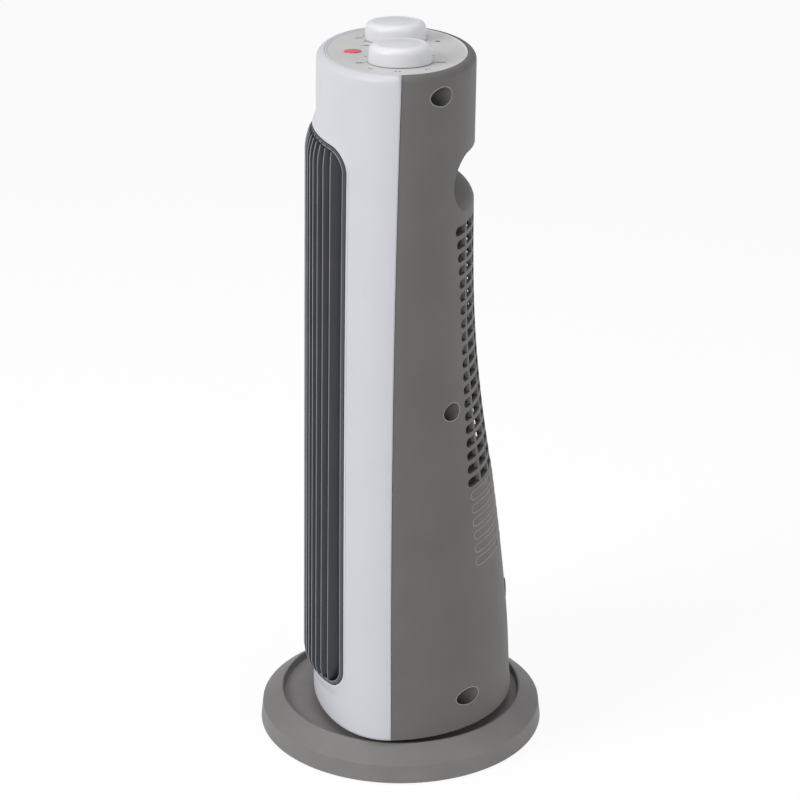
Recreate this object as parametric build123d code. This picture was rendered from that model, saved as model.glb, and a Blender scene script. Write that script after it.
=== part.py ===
"""Tower fan heater: a swivelling tower of two moulded shells on a round weighted base.

Millimetres. The origin is the middle of the base on the floor, +Z is up, the outlet grille faces -Y,
and the two knobs stand side by side along X.
"""
from build123d import *
import os
from math import acos, atan2, cos, hypot, pi, radians, sin, sqrt, tan

os.makedirs("parts", exist_ok=True)

# Base
base_radius = 110.0
base_lift = 1.0
rim_radius = 108.4
rim_height = 14.4
crest_radius = 93.8
crest_height = 25.6
crest_width = 1.2
dish_radius = 91.2
dish_height = 21.0
base_wall = 3.0
plate_radius = 103.0
plate_bottom = 1.5
plate_thickness = 1.5
foot_radius = 8.0
foot_circle = 88.0
foot_count = 5
weight_outer_radius = 72.0
weight_inner_radius = 36.0
weight_thickness = 11.0
base_screw_circle = 81.0
base_screw_count = 4
base_screw_boss_radius = 4.5

# Pivot between base and tower
pivot_radius = 21.0
pivot_bore_radius = 13.0
pivot_top = 36.5
bearing_flange_radius = 31.0
bearing_sleeve_wall = 1.6
hub_wall = 5.4
running_clearance = 0.08
free_clearance = 0.3
retainer_thickness = 2.0
retainer_radius = 30.0
retainer_screw_circle = 17.0
retainer_screw_count = 3

# Tower body
tower_foot = 29.3
shell_top = 529.6
foot_half_width = 95.6
top_half_width = 87.4
front_foot_y = -68.4
front_top_y = -59.6
seam_foot_y = -11.3
seam_top_y = -3.1
seam_bow = 2.2
rear_stations = (
    (tower_foot, 86.3),
    (110.0, 80.6),
    (200.0, 70.1),
    (265.0, 60.6),
    (330.0, 54.5),
    (400.0, 52.6),
    (shell_top, 53.3),
)
loft_steps = 12
shell_wall = 2.5
seam_gap = 0.3
shoulder_radius = 5.5
roof_thickness = 5.0
panel_inset = 5.9
panel_thickness = 2.0
panel_sink = 0.7
panel_ledge = 4.0
panel_clearance = 0.2

# Tower floor
floor_thickness = 2.5
floor_clearance = 0.4
column_radius = 4.5
column_height = 26.0
column_x = 62.0

# Outlet window, its surround and the grille
window_top_centre = 477.0
window_top_side = 473.0
window_bottom_centre = 54.5
window_bottom_side = 62.5
window_top_half_width = 70.2
window_bottom_half_width = 76.0
window_corner = 17.0
surround_width = 5.0
surround_rise = 2.6
grille_clearance = 0.25
grille_frame_width = 2.4
grille_frame_rise = 0.3
grille_frame_depth = 12.0
fin_pairs = 8
fin_pitch_foot = 8.05
fin_pitch_top = 7.4
fin_thickness = 2.0
fin_rise = 7.5
fin_narrowing = 7.0
fin_depth = 13.0
fin_top_round = 19.0
fin_bottom_round = 12.0
tie_heights = (118.0, 208.0, 298.0, 388.0)
tie_thickness = 2.4
tie_depth = 3.0

# Hand grip in the rear shell
grip_half_width = 65.0
grip_top = 466.5
grip_bottom = 424.5
grip_back_y = 26.0
grip_wall = 2.0
grip_sill_wall = 2.5
grip_sill_slope = 42.0
grip_lip_radius = 15.0
grip_lip_overhang = 0.5
grip_lip_steps = 4

# Intake slots in the rear shell
slot_rows = 20
slot_bottom_z = 222.0
slot_pitch = 10.05
slot_height = 6.6
slot_waist_z = 340.0
slot_waist_half_width = 56.0
slot_flare = 6.5
slot_rib_pitch = 18.6
slot_rib_width = 3.0

# Screws that join the shells, in wells of the rear shell: distance from the middle, height
well_places = ((75.5, 513.0), (70.5, 282.3), (75.0, 54.3))
well_radius = 6.6
well_wall = 2.0
well_floor_beyond_seam = 14.0
well_floor_thickness = 3.0
boss_radius = 5.2
boss_length = 15.0
boss_rib_thickness = 3.0
shell_screw_shank = 1.9
shell_screw_length = 22.0
shell_screw_head_radius = 4.2
shell_screw_head_height = 2.6
small_screw_shank = 1.5
small_screw_head_radius = 3.0
small_screw_head_height = 1.1
pilot_clearance = 0.1

# Knobs, lamp and switches
knob_x = 38.0
knob_y = -1.9
knob_base_radius = 22.4
knob_top_radius = 19.8
knob_height = 12.9
knob_lift = 0.4
knob_wall = 2.2
knob_shoulder = 3.6
knob_dish = 0.5
knob_stem_radius = 6.0
spindle_radius = 3.0
spindle_hole_radius = 4.5
lens_x = 3.1
lens_y = -33.9
lens_radius = 6.3
lens_rise = 0.6
lens_flange_radius = 8.0
lens_flange_thickness = 1.3
lamp_radius = 4.6
lamp_length = 17.0
bracket_half_width = 64.0
bracket_half_depth = 19.0
bracket_drop = 9.0
bracket_thickness = 1.5
post_radius = 3.6
post_x = 59.0
post_y = 13.0
switch_size = 34.0
switch_height = 22.0
thermostat_radius = 17.0
thermostat_height = 16.0
switch_neck_radius = 5.0
switch_neck_height = 4.5
switch_bore_floor = 4.5

# Fan, its duct and motor
fan_y = 18.0
fan_radius = 28.0
fan_inner_radius = 20.5
fan_blades = 30
fan_blade_thickness = 1.0
fan_disc_thickness = 1.6
duct_bottom = 216.0
duct_top = 416.5
duct_plate = 2.0
duct_wall = 1.8
duct_half_width = 61.0
duct_front_y = -36.0
duct_rear_y = 46.0
fan_end_gap = 3.0
duct_wing_half_depth = 8.0
duct_ledge_reach = 14.0
duct_ledge_thickness = 3.0
scroll_gap = 15.4
tongue_gap = 11.2
duct_mouth_gap = 5.6
duct_mouth_step = 9.3
blade_turn = 14.0
blade_bow_out = 1.0
blade_bow_back = 1.2
shaft_radius = 2.5
hub_radius = 7.0
hub_height = 12.0
bush_radius = 8.0
stator_height = 20.0
stator_drop = 16.0
stator_half_depth = 24.0
stator_left_x = -22.0
stator_right_x = 44.0
stator_leg = 12.0
rotor_radius = 12.5
air_gap = 0.6
coil_thickness = 8.5
coil_half_depth = 13.0
coil_clearance = 0.3
motor_bracket_thickness = 2.0
motor_bracket_gap = 3.0
motor_screw_x = 18.0
motor_screw_reach = 18.5

# Heater
heater_half_width = 60.0
heater_depth = 16.0
heater_border = 6.0
heater_bar_count = 5
heater_bar_width = 3.0
heater_bar_depth = 12.0
heater_fin_pitch = 4.4
heater_fin_thickness = 0.5
heater_slip = 0.2
tab_count = 3
tab_pitch = 18.0
tab_length = 6.0
tab_thickness = 1.0
cutout_radius = 8.0
cutout_height = 6.0
cutout_below_top = 12.0
fuse_radius = 2.2
fuse_length = 24.0
fuse_clip_thickness = 2.0
fuse_clip_half_width = 3.0
fuse_clip_height = 12.0
fuse_below_top = 18.0

# Oscillation drive
crank_axis_y = 46.0
swing_angle = 30.0
crank_pin_radius = 3.0
crank_pin_reach = 4.0
crank_arm_half_width = 5.0
crank_arm_thickness = 3.0
crank_under_floor = 0.7
guide_play = 1.8
guide_wall = 3.4
guide_end = 3.0
guide_height = 4.2
swing_motor_radius = 21.0
swing_motor_offset = 7.0
swing_motor_height = 16.0
swing_motor_ear = 5.0

# Small electrical parts
gland_z = 106.0
gland_radius = 8.5
gland_barrel_radius = 5.6
gland_bore_radius = 3.6
gland_flange = 2.0
gland_length = 16.0
terminal_size = (40.0, 14.0, 16.0)
terminal_place = (-46.0, 34.0)
terminal_ways = 5
terminal_hole_radius = 2.7
terminal_hole_depth = 8.0
tilt_size = (22.0, 22.0, 30.0)
tilt_place = (52.0, 8.0)
tilt_corner = 2.0


def blend_line(low, high, part):
    """Value a given part of the way from low to high."""
    return low + (high - low) * part


def height_part(z):
    """Height in the tower as a part of the way from its foot to its top."""
    return (z - tower_foot) / (shell_top - tower_foot)


def half_width(z):
    """Half width of the tower at a height."""
    return blend_line(foot_half_width, top_half_width, height_part(z))


def front_y(z):
    """Front of the tower at a height."""
    return blend_line(front_foot_y, front_top_y, height_part(z))


def seam_y(z):
    """Parting line of the two shells, which bows forward towards the foot."""
    return blend_line(seam_foot_y, seam_top_y, max(0.0, height_part(z)) ** seam_bow)


def station_slope(index):
    """Slope of the rear line at a station, from the stations on either side."""
    below = rear_stations[max(index - 1, 0)]
    above = rear_stations[min(index + 1, len(rear_stations) - 1)]
    return (above[1] - below[1]) / (above[0] - below[0])


def rear_y(z):
    """Rear of the tower at a height: a smooth curve through the stations."""
    index = 0
    while index < len(rear_stations) - 2 and z > rear_stations[index + 1][0]:
        index += 1
    (z0, y0), (z1, y1) = rear_stations[index], rear_stations[index + 1]
    span = z1 - z0
    t = (z - z0) / span
    rise0 = station_slope(index) * span
    rise1 = station_slope(index + 1) * span
    return (
        y0 * (2 * t**3 - 3 * t**2 + 1)
        + rise0 * (t**3 - 2 * t**2 + t)
        + y1 * (3 * t**2 - 2 * t**3)
        + rise1 * (t**3 - t**2)
    )


def section_heights(low, high):
    """Heights of the sections that a lofted piece of the tower passes through."""
    return [blend_line(low, high, step / loft_steps) for step in range(loft_steps + 1)]


def half_plan(z, side, inset=0.0, rise=0.0, narrowing=0.0):
    """Front (side -1) or rear (side +1) half of the tower's plan at a height."""
    seam = seam_y(z) + side * seam_gap / 2
    reach = (seam - front_y(z)) if side < 0 else (rear_y(z) - seam)
    start = 0 if side > 0 else 180
    width = half_width(z) - inset - narrowing
    arc = EllipticalCenterArc((0, seam), width, reach - inset + rise, start, arc_size=180)
    return Pos(0, 0, z) * make_face([arc, Line(arc @ 1, arc @ 0)])


def full_plan(z, inset):
    """Whole plan of the tower at a height, drawn in by inset."""
    seam = seam_y(z)
    width = half_width(z) - inset
    rear = EllipticalCenterArc((0, seam), width, rear_y(z) - seam - inset, 0, arc_size=180)
    front = EllipticalCenterArc((0, seam), width, seam - front_y(z) - inset, 180, arc_size=180)
    return Pos(0, 0, z) * make_face([rear, front])


def half_body(side, low, high, **shape):
    """Solid half of the tower between two heights."""
    return loft([half_plan(z, side, **shape) for z in section_heights(low, high)])


def along_y(face, y_from, y_to):
    """Solid swept along Y from a face drawn with X across and Z up."""
    placed = Plane.XZ.offset(-y_from) * face
    return extrude(placed, amount=abs(y_to - y_from), dir=(0, 1 if y_to > y_from else -1, 0))


def disc(radius, z_from, z_to, x=0.0, y=0.0):
    """Upright cylinder between two heights."""
    return Pos(x, y, z_from) * extrude(Circle(radius), amount=z_to - z_from)


def ring(outer, inner, z_from, z_to, x=0.0, y=0.0):
    """Upright ring between two heights."""
    return Pos(x, y, z_from) * extrude(Circle(outer) - Circle(inner), amount=z_to - z_from)


def block(x_from, x_to, y_from, y_to, z_from, z_to):
    """Box between two corners."""
    size = (x_to - x_from, y_to - y_from, z_to - z_from)
    middle = ((x_from + x_to) / 2, (y_from + y_to) / 2, (z_from + z_to) / 2)
    return Pos(*middle) * Box(*size)


def rod_y(radius, x, z, y_from, y_to):
    """Round rod along Y."""
    return along_y(Pos(x, z) * Circle(radius), y_from, y_to)


def circle_places(radius, count, turn=0.0):
    """Evenly spaced places on a circle about the middle of the base."""
    angles = [2 * pi * index / count + radians(turn) for index in range(count)]
    return [(radius * cos(angle), radius * sin(angle)) for angle in angles]


def group(pieces):
    """Several separate solids held in one node."""
    return Compound(children=[piece.solid() for piece in pieces])


def turned(points):
    """Solid of revolution about the Z axis from points of radius and height."""
    face = make_face(Polyline(*[(r, 0, z) for r, z in points], close=True))
    return revolve(face, Axis.Z, 360)


def moved_in(points, distance):
    """Open line of points moved sideways by a distance, with mitred corners."""
    moved = []
    for index, (r, z) in enumerate(points):
        before = points[max(index - 1, 0)]
        after = points[min(index + 1, len(points) - 1)]
        angle_in = atan2(z - before[1], r - before[0]) if index else None
        angle_out = atan2(after[1] - z, after[0] - r) if index < len(points) - 1 else angle_in
        angle_in = angle_out if angle_in is None else angle_in
        middle = (angle_in + angle_out) / 2
        stretch = distance / cos((angle_out - angle_in) / 2)
        moved.append((r - stretch * sin(middle), z + stretch * cos(middle)))
    return moved


def pan_screw(x, y, z_seat, length, down=True):
    """Small pan-head screw that stands upright, its head above or below its seat."""
    way = -1 if down else 1
    head_end = z_seat - way * small_screw_head_height
    tip = z_seat + way * length
    head = disc(small_screw_head_radius, min(z_seat, head_end), max(z_seat, head_end), x, y)
    shank = disc(small_screw_shank, min(z_seat, tip), max(z_seat, tip), x, y)
    return head + shank


# Pieces of the base
plate_top = plate_bottom + plate_thickness
dish_underside = dish_height - base_wall
pilot_radius = small_screw_shank + pilot_clearance


def base_cover():
    """Round foot: sloping shoulder, crest, sunken dish and the hollow pivot boss."""
    outside = [
        (base_radius, base_lift),
        (rim_radius, rim_height),
        (crest_radius, crest_height),
        (crest_radius - crest_width, crest_height),
        (dish_radius, dish_height),
        (pivot_radius, dish_height),
    ]
    inside = moved_in([outside[0], outside[1], outside[2], (crest_radius - crest_width, crest_height)], base_wall)
    under = [inside[0][0], inside[1], inside[2]]
    points = outside + [
        (pivot_radius, pivot_top),
        (pivot_bore_radius, pivot_top),
        (pivot_bore_radius, dish_underside),
        (dish_radius - base_wall / 2, dish_underside),
        under[2],
        under[1],
        (under[0], base_lift),
    ]
    body = turned(points)
    for x, y in circle_places(base_screw_circle, base_screw_count, 45):
        body += disc(base_screw_boss_radius, plate_top, dish_underside + base_wall / 2, x, y)
        body -= disc(pilot_radius, plate_top, dish_underside, x, y)
    for x, y in circle_places(retainer_screw_circle, retainer_screw_count, 90):
        body -= disc(pilot_radius, dish_height, pivot_top, x, y)
    return body


def base_plate():
    """Steel plate that closes the foot from below."""
    plate = ring(plate_radius, pivot_bore_radius, plate_bottom, plate_top)
    for x, y in circle_places(base_screw_circle, base_screw_count, 45):
        plate -= disc(pilot_radius, plate_bottom, plate_top, x, y)
    return plate


def base_weight():
    """Cast ring on the plate."""
    return ring(weight_outer_radius, weight_inner_radius, plate_top, plate_top + weight_thickness)


def rubber_feet():
    """Flat pads under the plate."""
    return group([disc(foot_radius, 0, plate_bottom, x, y) for x, y in circle_places(foot_circle, foot_count, 90)])


def base_screws():
    """Screws that hold the plate to the bosses of the foot."""
    places = circle_places(base_screw_circle, base_screw_count, 45)
    length = dish_underside - plate_bottom - 2 * free_clearance
    return group([pan_screw(x, y, plate_bottom, length, down=False) for x, y in places])


bearing_inner_radius = pivot_radius + running_clearance
bearing_sleeve_radius = bearing_inner_radius + bearing_sleeve_wall
hub_bore_radius = bearing_sleeve_radius + running_clearance
hub_outer_radius = hub_bore_radius + hub_wall
hub_top = pivot_top - free_clearance


def swivel_bearing():
    """Slide ring on the boss: a flange that the tower rests on and a sleeve that it turns about."""
    flange = ring(bearing_flange_radius, bearing_inner_radius, dish_height, tower_foot - free_clearance)
    return flange + ring(bearing_sleeve_radius, bearing_inner_radius, dish_height, hub_top)


def swivel_retainer():
    """Washer on the boss that keeps the tower from lifting off."""
    washer = ring(retainer_radius, pivot_bore_radius, pivot_top, pivot_top + retainer_thickness)
    for x, y in circle_places(retainer_screw_circle, retainer_screw_count, 90):
        washer -= disc(pilot_radius, pivot_top, pivot_top + retainer_thickness, x, y)
    return washer


def retainer_screws():
    """Screws that hold the washer to the boss."""
    places = circle_places(retainer_screw_circle, retainer_screw_count, 90)
    seat = pivot_top + retainer_thickness
    length = seat - dish_height - free_clearance
    return group([pan_screw(x, y, seat, length) for x, y in places])


# Oscillation drive: the crank's pin works in a slot of the base and swings the tower
crank_throw = crank_axis_y * tan(radians(swing_angle))
pin_far = crank_axis_y + crank_throw
pin_near = hypot(crank_axis_y, crank_throw)
crank_top = tower_foot - crank_under_floor
crank_bottom = crank_top - crank_arm_thickness
swing_motor_y = crank_axis_y + swing_motor_offset
floor_top = tower_foot + floor_thickness


def crank_guide():
    """Slotted block on the base that the crank's pin slides in."""
    slot_half = crank_pin_radius + guide_play
    slot_from = pin_near - slot_half
    slot_to = pin_far + slot_half
    outer = block(
        -slot_half - guide_wall, slot_half + guide_wall, slot_from - guide_end, slot_to + guide_end,
        dish_height, dish_height + guide_height,
    )
    return outer - block(-slot_half, slot_half, slot_from, slot_to, dish_height, dish_height + guide_height)


def oscillation_crank():
    """Arm under the tower floor, with its hub on the motor's shaft and its pin in the guide."""
    arm = Pos(0, (crank_axis_y + pin_far) / 2) * SlotCenterToCenter(crank_throw, 2 * crank_arm_half_width, rotation=90)
    body = Pos(0, 0, crank_bottom) * extrude(arm, amount=crank_arm_thickness)
    body += disc(crank_arm_half_width, crank_bottom, floor_top - free_clearance, 0, crank_axis_y)
    body += disc(crank_pin_radius, crank_bottom - crank_pin_reach, crank_top, 0, pin_far)
    return body - disc(spindle_radius, crank_top - crank_arm_thickness / 2, floor_top, 0, crank_axis_y)


def oscillation_shaft():
    """Output shaft of the oscillation motor, pressed into the crank."""
    bottom = crank_top - crank_arm_thickness / 2
    return disc(spindle_radius - pilot_clearance / 2, bottom, floor_top + swing_motor_height * 0.75, 0, crank_axis_y)


def swing_motor_ears():
    """Places of the two ears of the oscillation motor."""
    reach = swing_motor_radius + small_screw_head_radius + free_clearance
    return [(-reach, swing_motor_y), (reach, swing_motor_y)]


def oscillation_motor():
    """Flat geared motor on the tower floor, with an ear on each side."""
    top = floor_top + swing_motor_height
    body = disc(swing_motor_radius, floor_top, top, 0, swing_motor_y)
    for x, y in swing_motor_ears():
        body += disc(swing_motor_ear, floor_top, floor_top + retainer_thickness, x, y)
        body -= disc(pilot_radius, floor_top, floor_top + retainer_thickness, x, y)
    return body - disc(spindle_radius + running_clearance, floor_top, top - swing_motor_height / 5, 0, crank_axis_y)


def oscillation_screws():
    """Screws that hold the oscillation motor to the floor."""
    seat = floor_top + retainer_thickness
    length = retainer_thickness + floor_thickness
    return group([pan_screw(x, y, seat, length) for x, y in swing_motor_ears()])


# Shells of the tower
def column_places(side):
    """Places of the two screw columns in the foot of one shell, against its wall."""
    seam = seam_y(tower_foot)
    reach = (seam - front_y(tower_foot)) if side < 0 else (rear_y(tower_foot) - seam)
    round_part = sqrt(1 - (column_x / (foot_half_width - shell_wall)) ** 2)
    y = seam + side * ((reach - shell_wall) * round_part - column_radius)
    return [(-column_x, y), (column_x, y)]


def window(grow=0.0):
    """Outlet window seen from the front, grown outwards by a distance."""
    low = window_bottom_half_width + grow
    high = window_top_half_width + grow
    bottom_side, bottom_middle = window_bottom_side - grow, window_bottom_centre - grow
    top_side, top_middle = window_top_side + grow, window_top_centre + grow
    outline = [
        ThreePointArc((-low, bottom_side), (0, bottom_middle), (low, bottom_side)),
        Line((low, bottom_side), (high, top_side)),
        ThreePointArc((high, top_side), (0, top_middle), (-high, top_side)),
        Line((-high, top_side), (-low, bottom_side)),
    ]
    face = make_face(outline)
    return fillet(face.vertices(), window_corner + grow)


inner_top = shell_top - roof_thickness
panel_top = shell_top - panel_sink
panel_bottom = panel_top - panel_thickness
behind_front = seam_foot_y


def cavity():
    """Hollow inside both shells."""
    heights = section_heights(tower_foot - base_lift, inner_top)
    return loft([full_plan(z, shell_wall) for z in heights])


def panel_seat():
    """Recess and opening in the roof of the shells that the top panel drops into."""
    recess = extrude(full_plan(panel_bottom, panel_inset - panel_clearance), amount=roof_thickness)
    opening = extrude(full_plan(inner_top - roof_thickness, panel_inset + panel_ledge), amount=3 * roof_thickness)
    return recess + opening


def rounded_half(side):
    """Solid half of the tower with its rounded shoulder."""
    body = half_body(side, tower_foot, shell_top)
    top_face = body.faces().sort_by(Axis.Z)[-1]
    curved = top_face.edges().filter_by(lambda edge: edge.geom_type != GeomType.LINE)
    return fillet(curved, shoulder_radius)


def shell_columns(side, body):
    """Screw columns in the foot of a shell, with their pilot holes."""
    pieces = [disc(column_radius, floor_top, floor_top + column_height, x, y) for x, y in column_places(side)]
    body += [(piece & half_body(side, tower_foot, shell_top)) for piece in pieces]
    for x, y in column_places(side):
        body -= disc(pilot_radius, floor_top, floor_top + column_height / 2, x, y)
    return body


beyond_rear = 2 * rear_stations[0][1]


def well_floor(z):
    """How far back the floor of a screw well lies."""
    return seam_y(z) + well_floor_beyond_seam


def front_shell():
    """White front shell: the outlet window with its raised surround, and the bosses for the screws."""
    body = rounded_half(-1)
    ring_face = window(surround_width) - window()
    raised = half_body(-1, tower_foot, shell_top, rise=surround_rise)
    body += along_y(ring_face, behind_front, 2 * front_foot_y) & raised
    body -= cavity()
    body -= along_y(window(), behind_front, 2 * front_foot_y)
    solid_half = half_body(-1, tower_foot, shell_top)
    for x, z in well_places:
        boss_end = well_floor(z) - well_floor_thickness - pilot_clearance
        boss_start = seam_y(z) - boss_length
        for side in (-1, 1):
            rib_x = (side * x, side * foot_half_width)
            rib = block(min(rib_x), max(rib_x), boss_start, seam_y(z), z - boss_rib_thickness / 2,
                        z + boss_rib_thickness / 2)
            body += rib & solid_half
            body += rod_y(boss_radius, side * x, z, boss_start, boss_end)
            body -= rod_y(shell_screw_shank + pilot_clearance, side * x, z, boss_end, boss_end - shell_screw_length)
    body = shell_columns(-1, body)
    return body - panel_seat()


def lip_section(angle, drop):
    """Plan of the rear half below the sill, where the lip has rounded over by an angle."""
    lip_z = grip_bottom - drop - grip_lip_radius * sin(acos(1 - grip_lip_overhang / grip_lip_radius))
    inset = grip_lip_radius * (1 - cos(angle)) - grip_lip_overhang
    return lip_z + grip_lip_radius * sin(angle), inset


def under_sill(drop):
    """Body below the sill of the hand grip: it rounds over from the shell's skin and climbs inwards all round."""
    bend = pi / 2 - radians(grip_sill_slope)
    rounding = [lip_section(bend * step / grip_lip_steps, drop) for step in range(grip_lip_steps + 1)]
    bend_z, bend_inset = rounding[-1]
    inner_inset = rear_y(grip_top) - grip_back_y + 2 * grip_wall
    inner_z = bend_z + (inner_inset - bend_inset) * tan(radians(grip_sill_slope))
    body = loft([half_plan(z, 1, inset=inset) for z, inset in rounding])
    slope = loft([half_plan(bend_z, 1, inset=bend_inset), half_plan(inner_z, 1, inset=inner_inset)])
    foot_z, foot_inset = rounding[0]
    foot = extrude(half_plan(foot_z, 1, inset=foot_inset), amount=-2 * grip_lip_radius)
    return body + slope + foot


def grip_outline(grow):
    """Rounded outline of the hand grip, seen from the rear."""
    height = grip_top - grip_bottom
    middle = (grip_top + grip_bottom) / 2
    return Pos(0, middle) * SlotOverall(2 * (grip_half_width + grow), height + 2 * grow)


def slot_half_width(z):
    """Half length of a row of intake slots: least at the waist, more above and below."""
    end = slot_bottom_z + (slot_rows - 1) * slot_pitch if z > slot_waist_z else slot_bottom_z
    return slot_waist_half_width + slot_flare * ((z - slot_waist_z) / (end - slot_waist_z)) ** 2


def intake_slots():
    """Rows of slots with round outer ends, parted by upright ribs."""
    cutters = []
    rib_count = int(slot_waist_half_width // slot_rib_pitch)
    ribs = [slot_rib_pitch * (index + 0.5) for index in range(rib_count)]
    for row in range(slot_rows):
        z = slot_bottom_z + row * slot_pitch
        outline = SlotOverall(2 * slot_half_width(z), slot_height)
        for x in ribs:
            rib = Rectangle(slot_rib_width, slot_height)
            outline -= [Pos(-x, 0) * rib, Pos(x, 0) * rib]
        for face in outline.faces():
            cutters.append(along_y(Pos(0, z) * face, fan_y, beyond_rear))
    return cutters


def gland_seat_y():
    """Flat seat of the cord gland on the rear shell."""
    return rear_y(gland_z) - gland_flange


def duct_ledges():
    """Ledges inside the rear shell, under and over the wings of the fan duct."""
    ledges = []
    y_from, y_to = fan_y - duct_wing_half_depth, fan_y + duct_wing_half_depth
    for z in (duct_bottom - free_clearance - duct_ledge_thickness, duct_top + free_clearance):
        x_to = half_width(z)
        x_from = x_to - duct_ledge_reach
        ledges.append(block(x_from, x_to, y_from, y_to, z, z + duct_ledge_thickness))
        ledges.append(block(-x_to, -x_from, y_from, y_to, z, z + duct_ledge_thickness))
    return ledges


def rear_shell():
    """Grey rear shell: hand grip, intake slots, screw wells, duct ledges and the cord gland's opening."""
    outer = rounded_half(1)
    body = outer - cavity()
    body += [ledge & outer for ledge in duct_ledges()]
    pocket = along_y(grip_outline(grip_wall), grip_back_y - grip_wall, beyond_rear) - under_sill(grip_sill_wall)
    body += pocket & outer
    for x, z in well_places:
        for place in (-x, x):
            tube = rod_y(well_radius + well_wall, place, z, well_floor(z) - well_floor_thickness, beyond_rear)
            body += tube & outer
    body = shell_columns(1, body)
    body -= along_y(grip_outline(0), grip_back_y, beyond_rear) - under_sill(0)
    for x, z in well_places:
        for place in (-x, x):
            body -= rod_y(well_radius, place, z, well_floor(z), beyond_rear)
            body -= rod_y(shell_screw_shank + free_clearance, place, z, seam_y(z), well_floor(z))
    body -= rod_y(gland_radius + free_clearance, 0, gland_z, gland_seat_y(), beyond_rear)
    body -= rod_y(gland_barrel_radius + pilot_clearance, 0, gland_z, fan_y, beyond_rear)
    body -= intake_slots()
    return body - panel_seat()


def shell_screws():
    """Long screws down the wells that pull the two shells together."""
    screws = []
    for x, z in well_places:
        seat = well_floor(z)
        for place in (-x, x):
            head = rod_y(shell_screw_head_radius, place, z, seat, seat + shell_screw_head_height)
            screws.append(head + rod_y(shell_screw_shank, place, z, seat - shell_screw_length, seat))
    return group(screws)


def cord_gland():
    """Bush in the rear shell that the mains lead passes through."""
    seat = gland_seat_y()
    body = rod_y(gland_radius, 0, gland_z, seat, seat + gland_flange)
    body += rod_y(gland_barrel_radius, 0, gland_z, seat - gland_length, seat)
    return body - rod_y(gland_bore_radius, 0, gland_z, seat - gland_length, seat + gland_flange)


# Floor of the tower
def tower_floor():
    """Plate that closes the tower from below, with the hub that turns on the slide ring."""
    plate = extrude(full_plan(tower_foot, shell_wall + floor_clearance), amount=floor_thickness)
    body = plate + disc(hub_outer_radius, tower_foot, hub_top)
    body -= disc(hub_bore_radius, tower_foot, hub_top)
    body -= disc(crank_arm_half_width + free_clearance, tower_foot, floor_top, 0, crank_axis_y)
    for x, y in column_places(-1) + column_places(1) + swing_motor_ears():
        body -= disc(pilot_radius, tower_foot, floor_top, x, y)
    return body


def floor_screws():
    """Screws from below into the columns of the shells."""
    length = floor_thickness + column_height / 2 - free_clearance
    places = column_places(-1) + column_places(1)
    return group([pan_screw(x, y, tower_foot, length, down=False) for x, y in places])


# Grille
def fin_pitch(z):
    """Distance between fins at a height."""
    return blend_line(fin_pitch_foot, fin_pitch_top, height_part(z))


def grille_front(x, z, rise, narrowing):
    """How far forward a face of the grille stands at a place."""
    seam = seam_y(z) - seam_gap / 2
    reach = seam - front_y(z) + rise
    width = half_width(z) - narrowing
    return seam - reach * sqrt(1 - (x / width) ** 2)


def bowed(z_side, z_middle, x):
    """Height of the window's bowed top or bottom edge at a place."""
    return blend_line(z_middle, z_side, (x / window_top_half_width) ** 2)


def grille_fin(place):
    """One upright blade with rounded ends; place counts half pitches from the middle."""
    x_middle = place * fin_pitch(blend_line(window_bottom_centre, window_top_centre, 0.5))
    low = bowed(window_bottom_side, window_bottom_centre, x_middle)
    high = bowed(window_top_side, window_top_centre, x_middle)
    x_low, x_high = place * fin_pitch(low), place * fin_pitch(high)
    low_bend, high_bend = low + fin_bottom_round, high - fin_top_round
    front_low = grille_front(x_low, low_bend, fin_rise, fin_narrowing)
    front_high = grille_front(x_high, high_bend, fin_rise, fin_narrowing)
    end_low = grille_front(x_low, low, surround_rise, 0)
    end_high = grille_front(x_high, high, surround_rise, 0)
    rise = (front_high - front_low, high_bend - low_bend)
    profile = [
        Line((front_low, low_bend), (front_high, high_bend)),
        TangentArc((front_high, high_bend), (end_high, high), tangent=rise),
        Line((end_high, high), (front_high + fin_depth, high)),
        Line((front_high + fin_depth, high), (front_low + fin_depth, low)),
        Line((front_low + fin_depth, low), (end_low, low)),
        TangentArc((front_low, low_bend), (end_low, low), tangent=(-rise[0], -rise[1])),
    ]
    lean = (x_high - x_low) / (high - low)
    plane = Plane(origin=(x_low - lean * low, 0, 0), x_dir=(0, 1, 0), z_dir=(1, 0, -lean))
    return extrude(plane * make_face(profile), amount=fin_thickness / 2, both=True)


def outlet_grille():
    """Dark grille: a frame that follows the window, upright fins and the ties behind them."""
    outer, inner = -grille_clearance, -grille_clearance - grille_frame_width
    frame_rise = surround_rise + grille_frame_rise
    raised = half_body(-1, tower_foot, shell_top, rise=frame_rise)
    sunk = half_body(-1, tower_foot, shell_top, inset=grille_frame_depth - frame_rise)
    frame = along_y(window(outer) - window(inner), behind_front, 2 * front_foot_y)
    frame = (frame & raised) - sunk
    places = [side * (index + 0.5) for index in range(fin_pairs) for side in (-1, 1)]
    clip = along_y(window(inner + grille_frame_width / 2), 0, 2 * front_foot_y)
    body = frame + [grille_fin(place) & clip for place in places]
    for z in tie_heights:
        back = fin_depth - fin_rise
        whole = half_plan(z, -1, inset=back - tie_depth, narrowing=fin_narrowing - back + tie_depth)
        core = half_plan(z, -1, inset=back, narrowing=fin_narrowing - back + tie_depth)
        bar = extrude(whole - core, amount=tie_thickness)
        body += bar & clip
    return body


# Top panel, lamp and controls
bracket_top = panel_bottom - bracket_drop
bracket_bottom = bracket_top - bracket_thickness
knob_bottom = panel_top + knob_lift


def post_places():
    """Places of the posts under the top panel."""
    return [(x, knob_y + y) for x in (-post_x, post_x) for y in (-post_y, post_y)]


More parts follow.
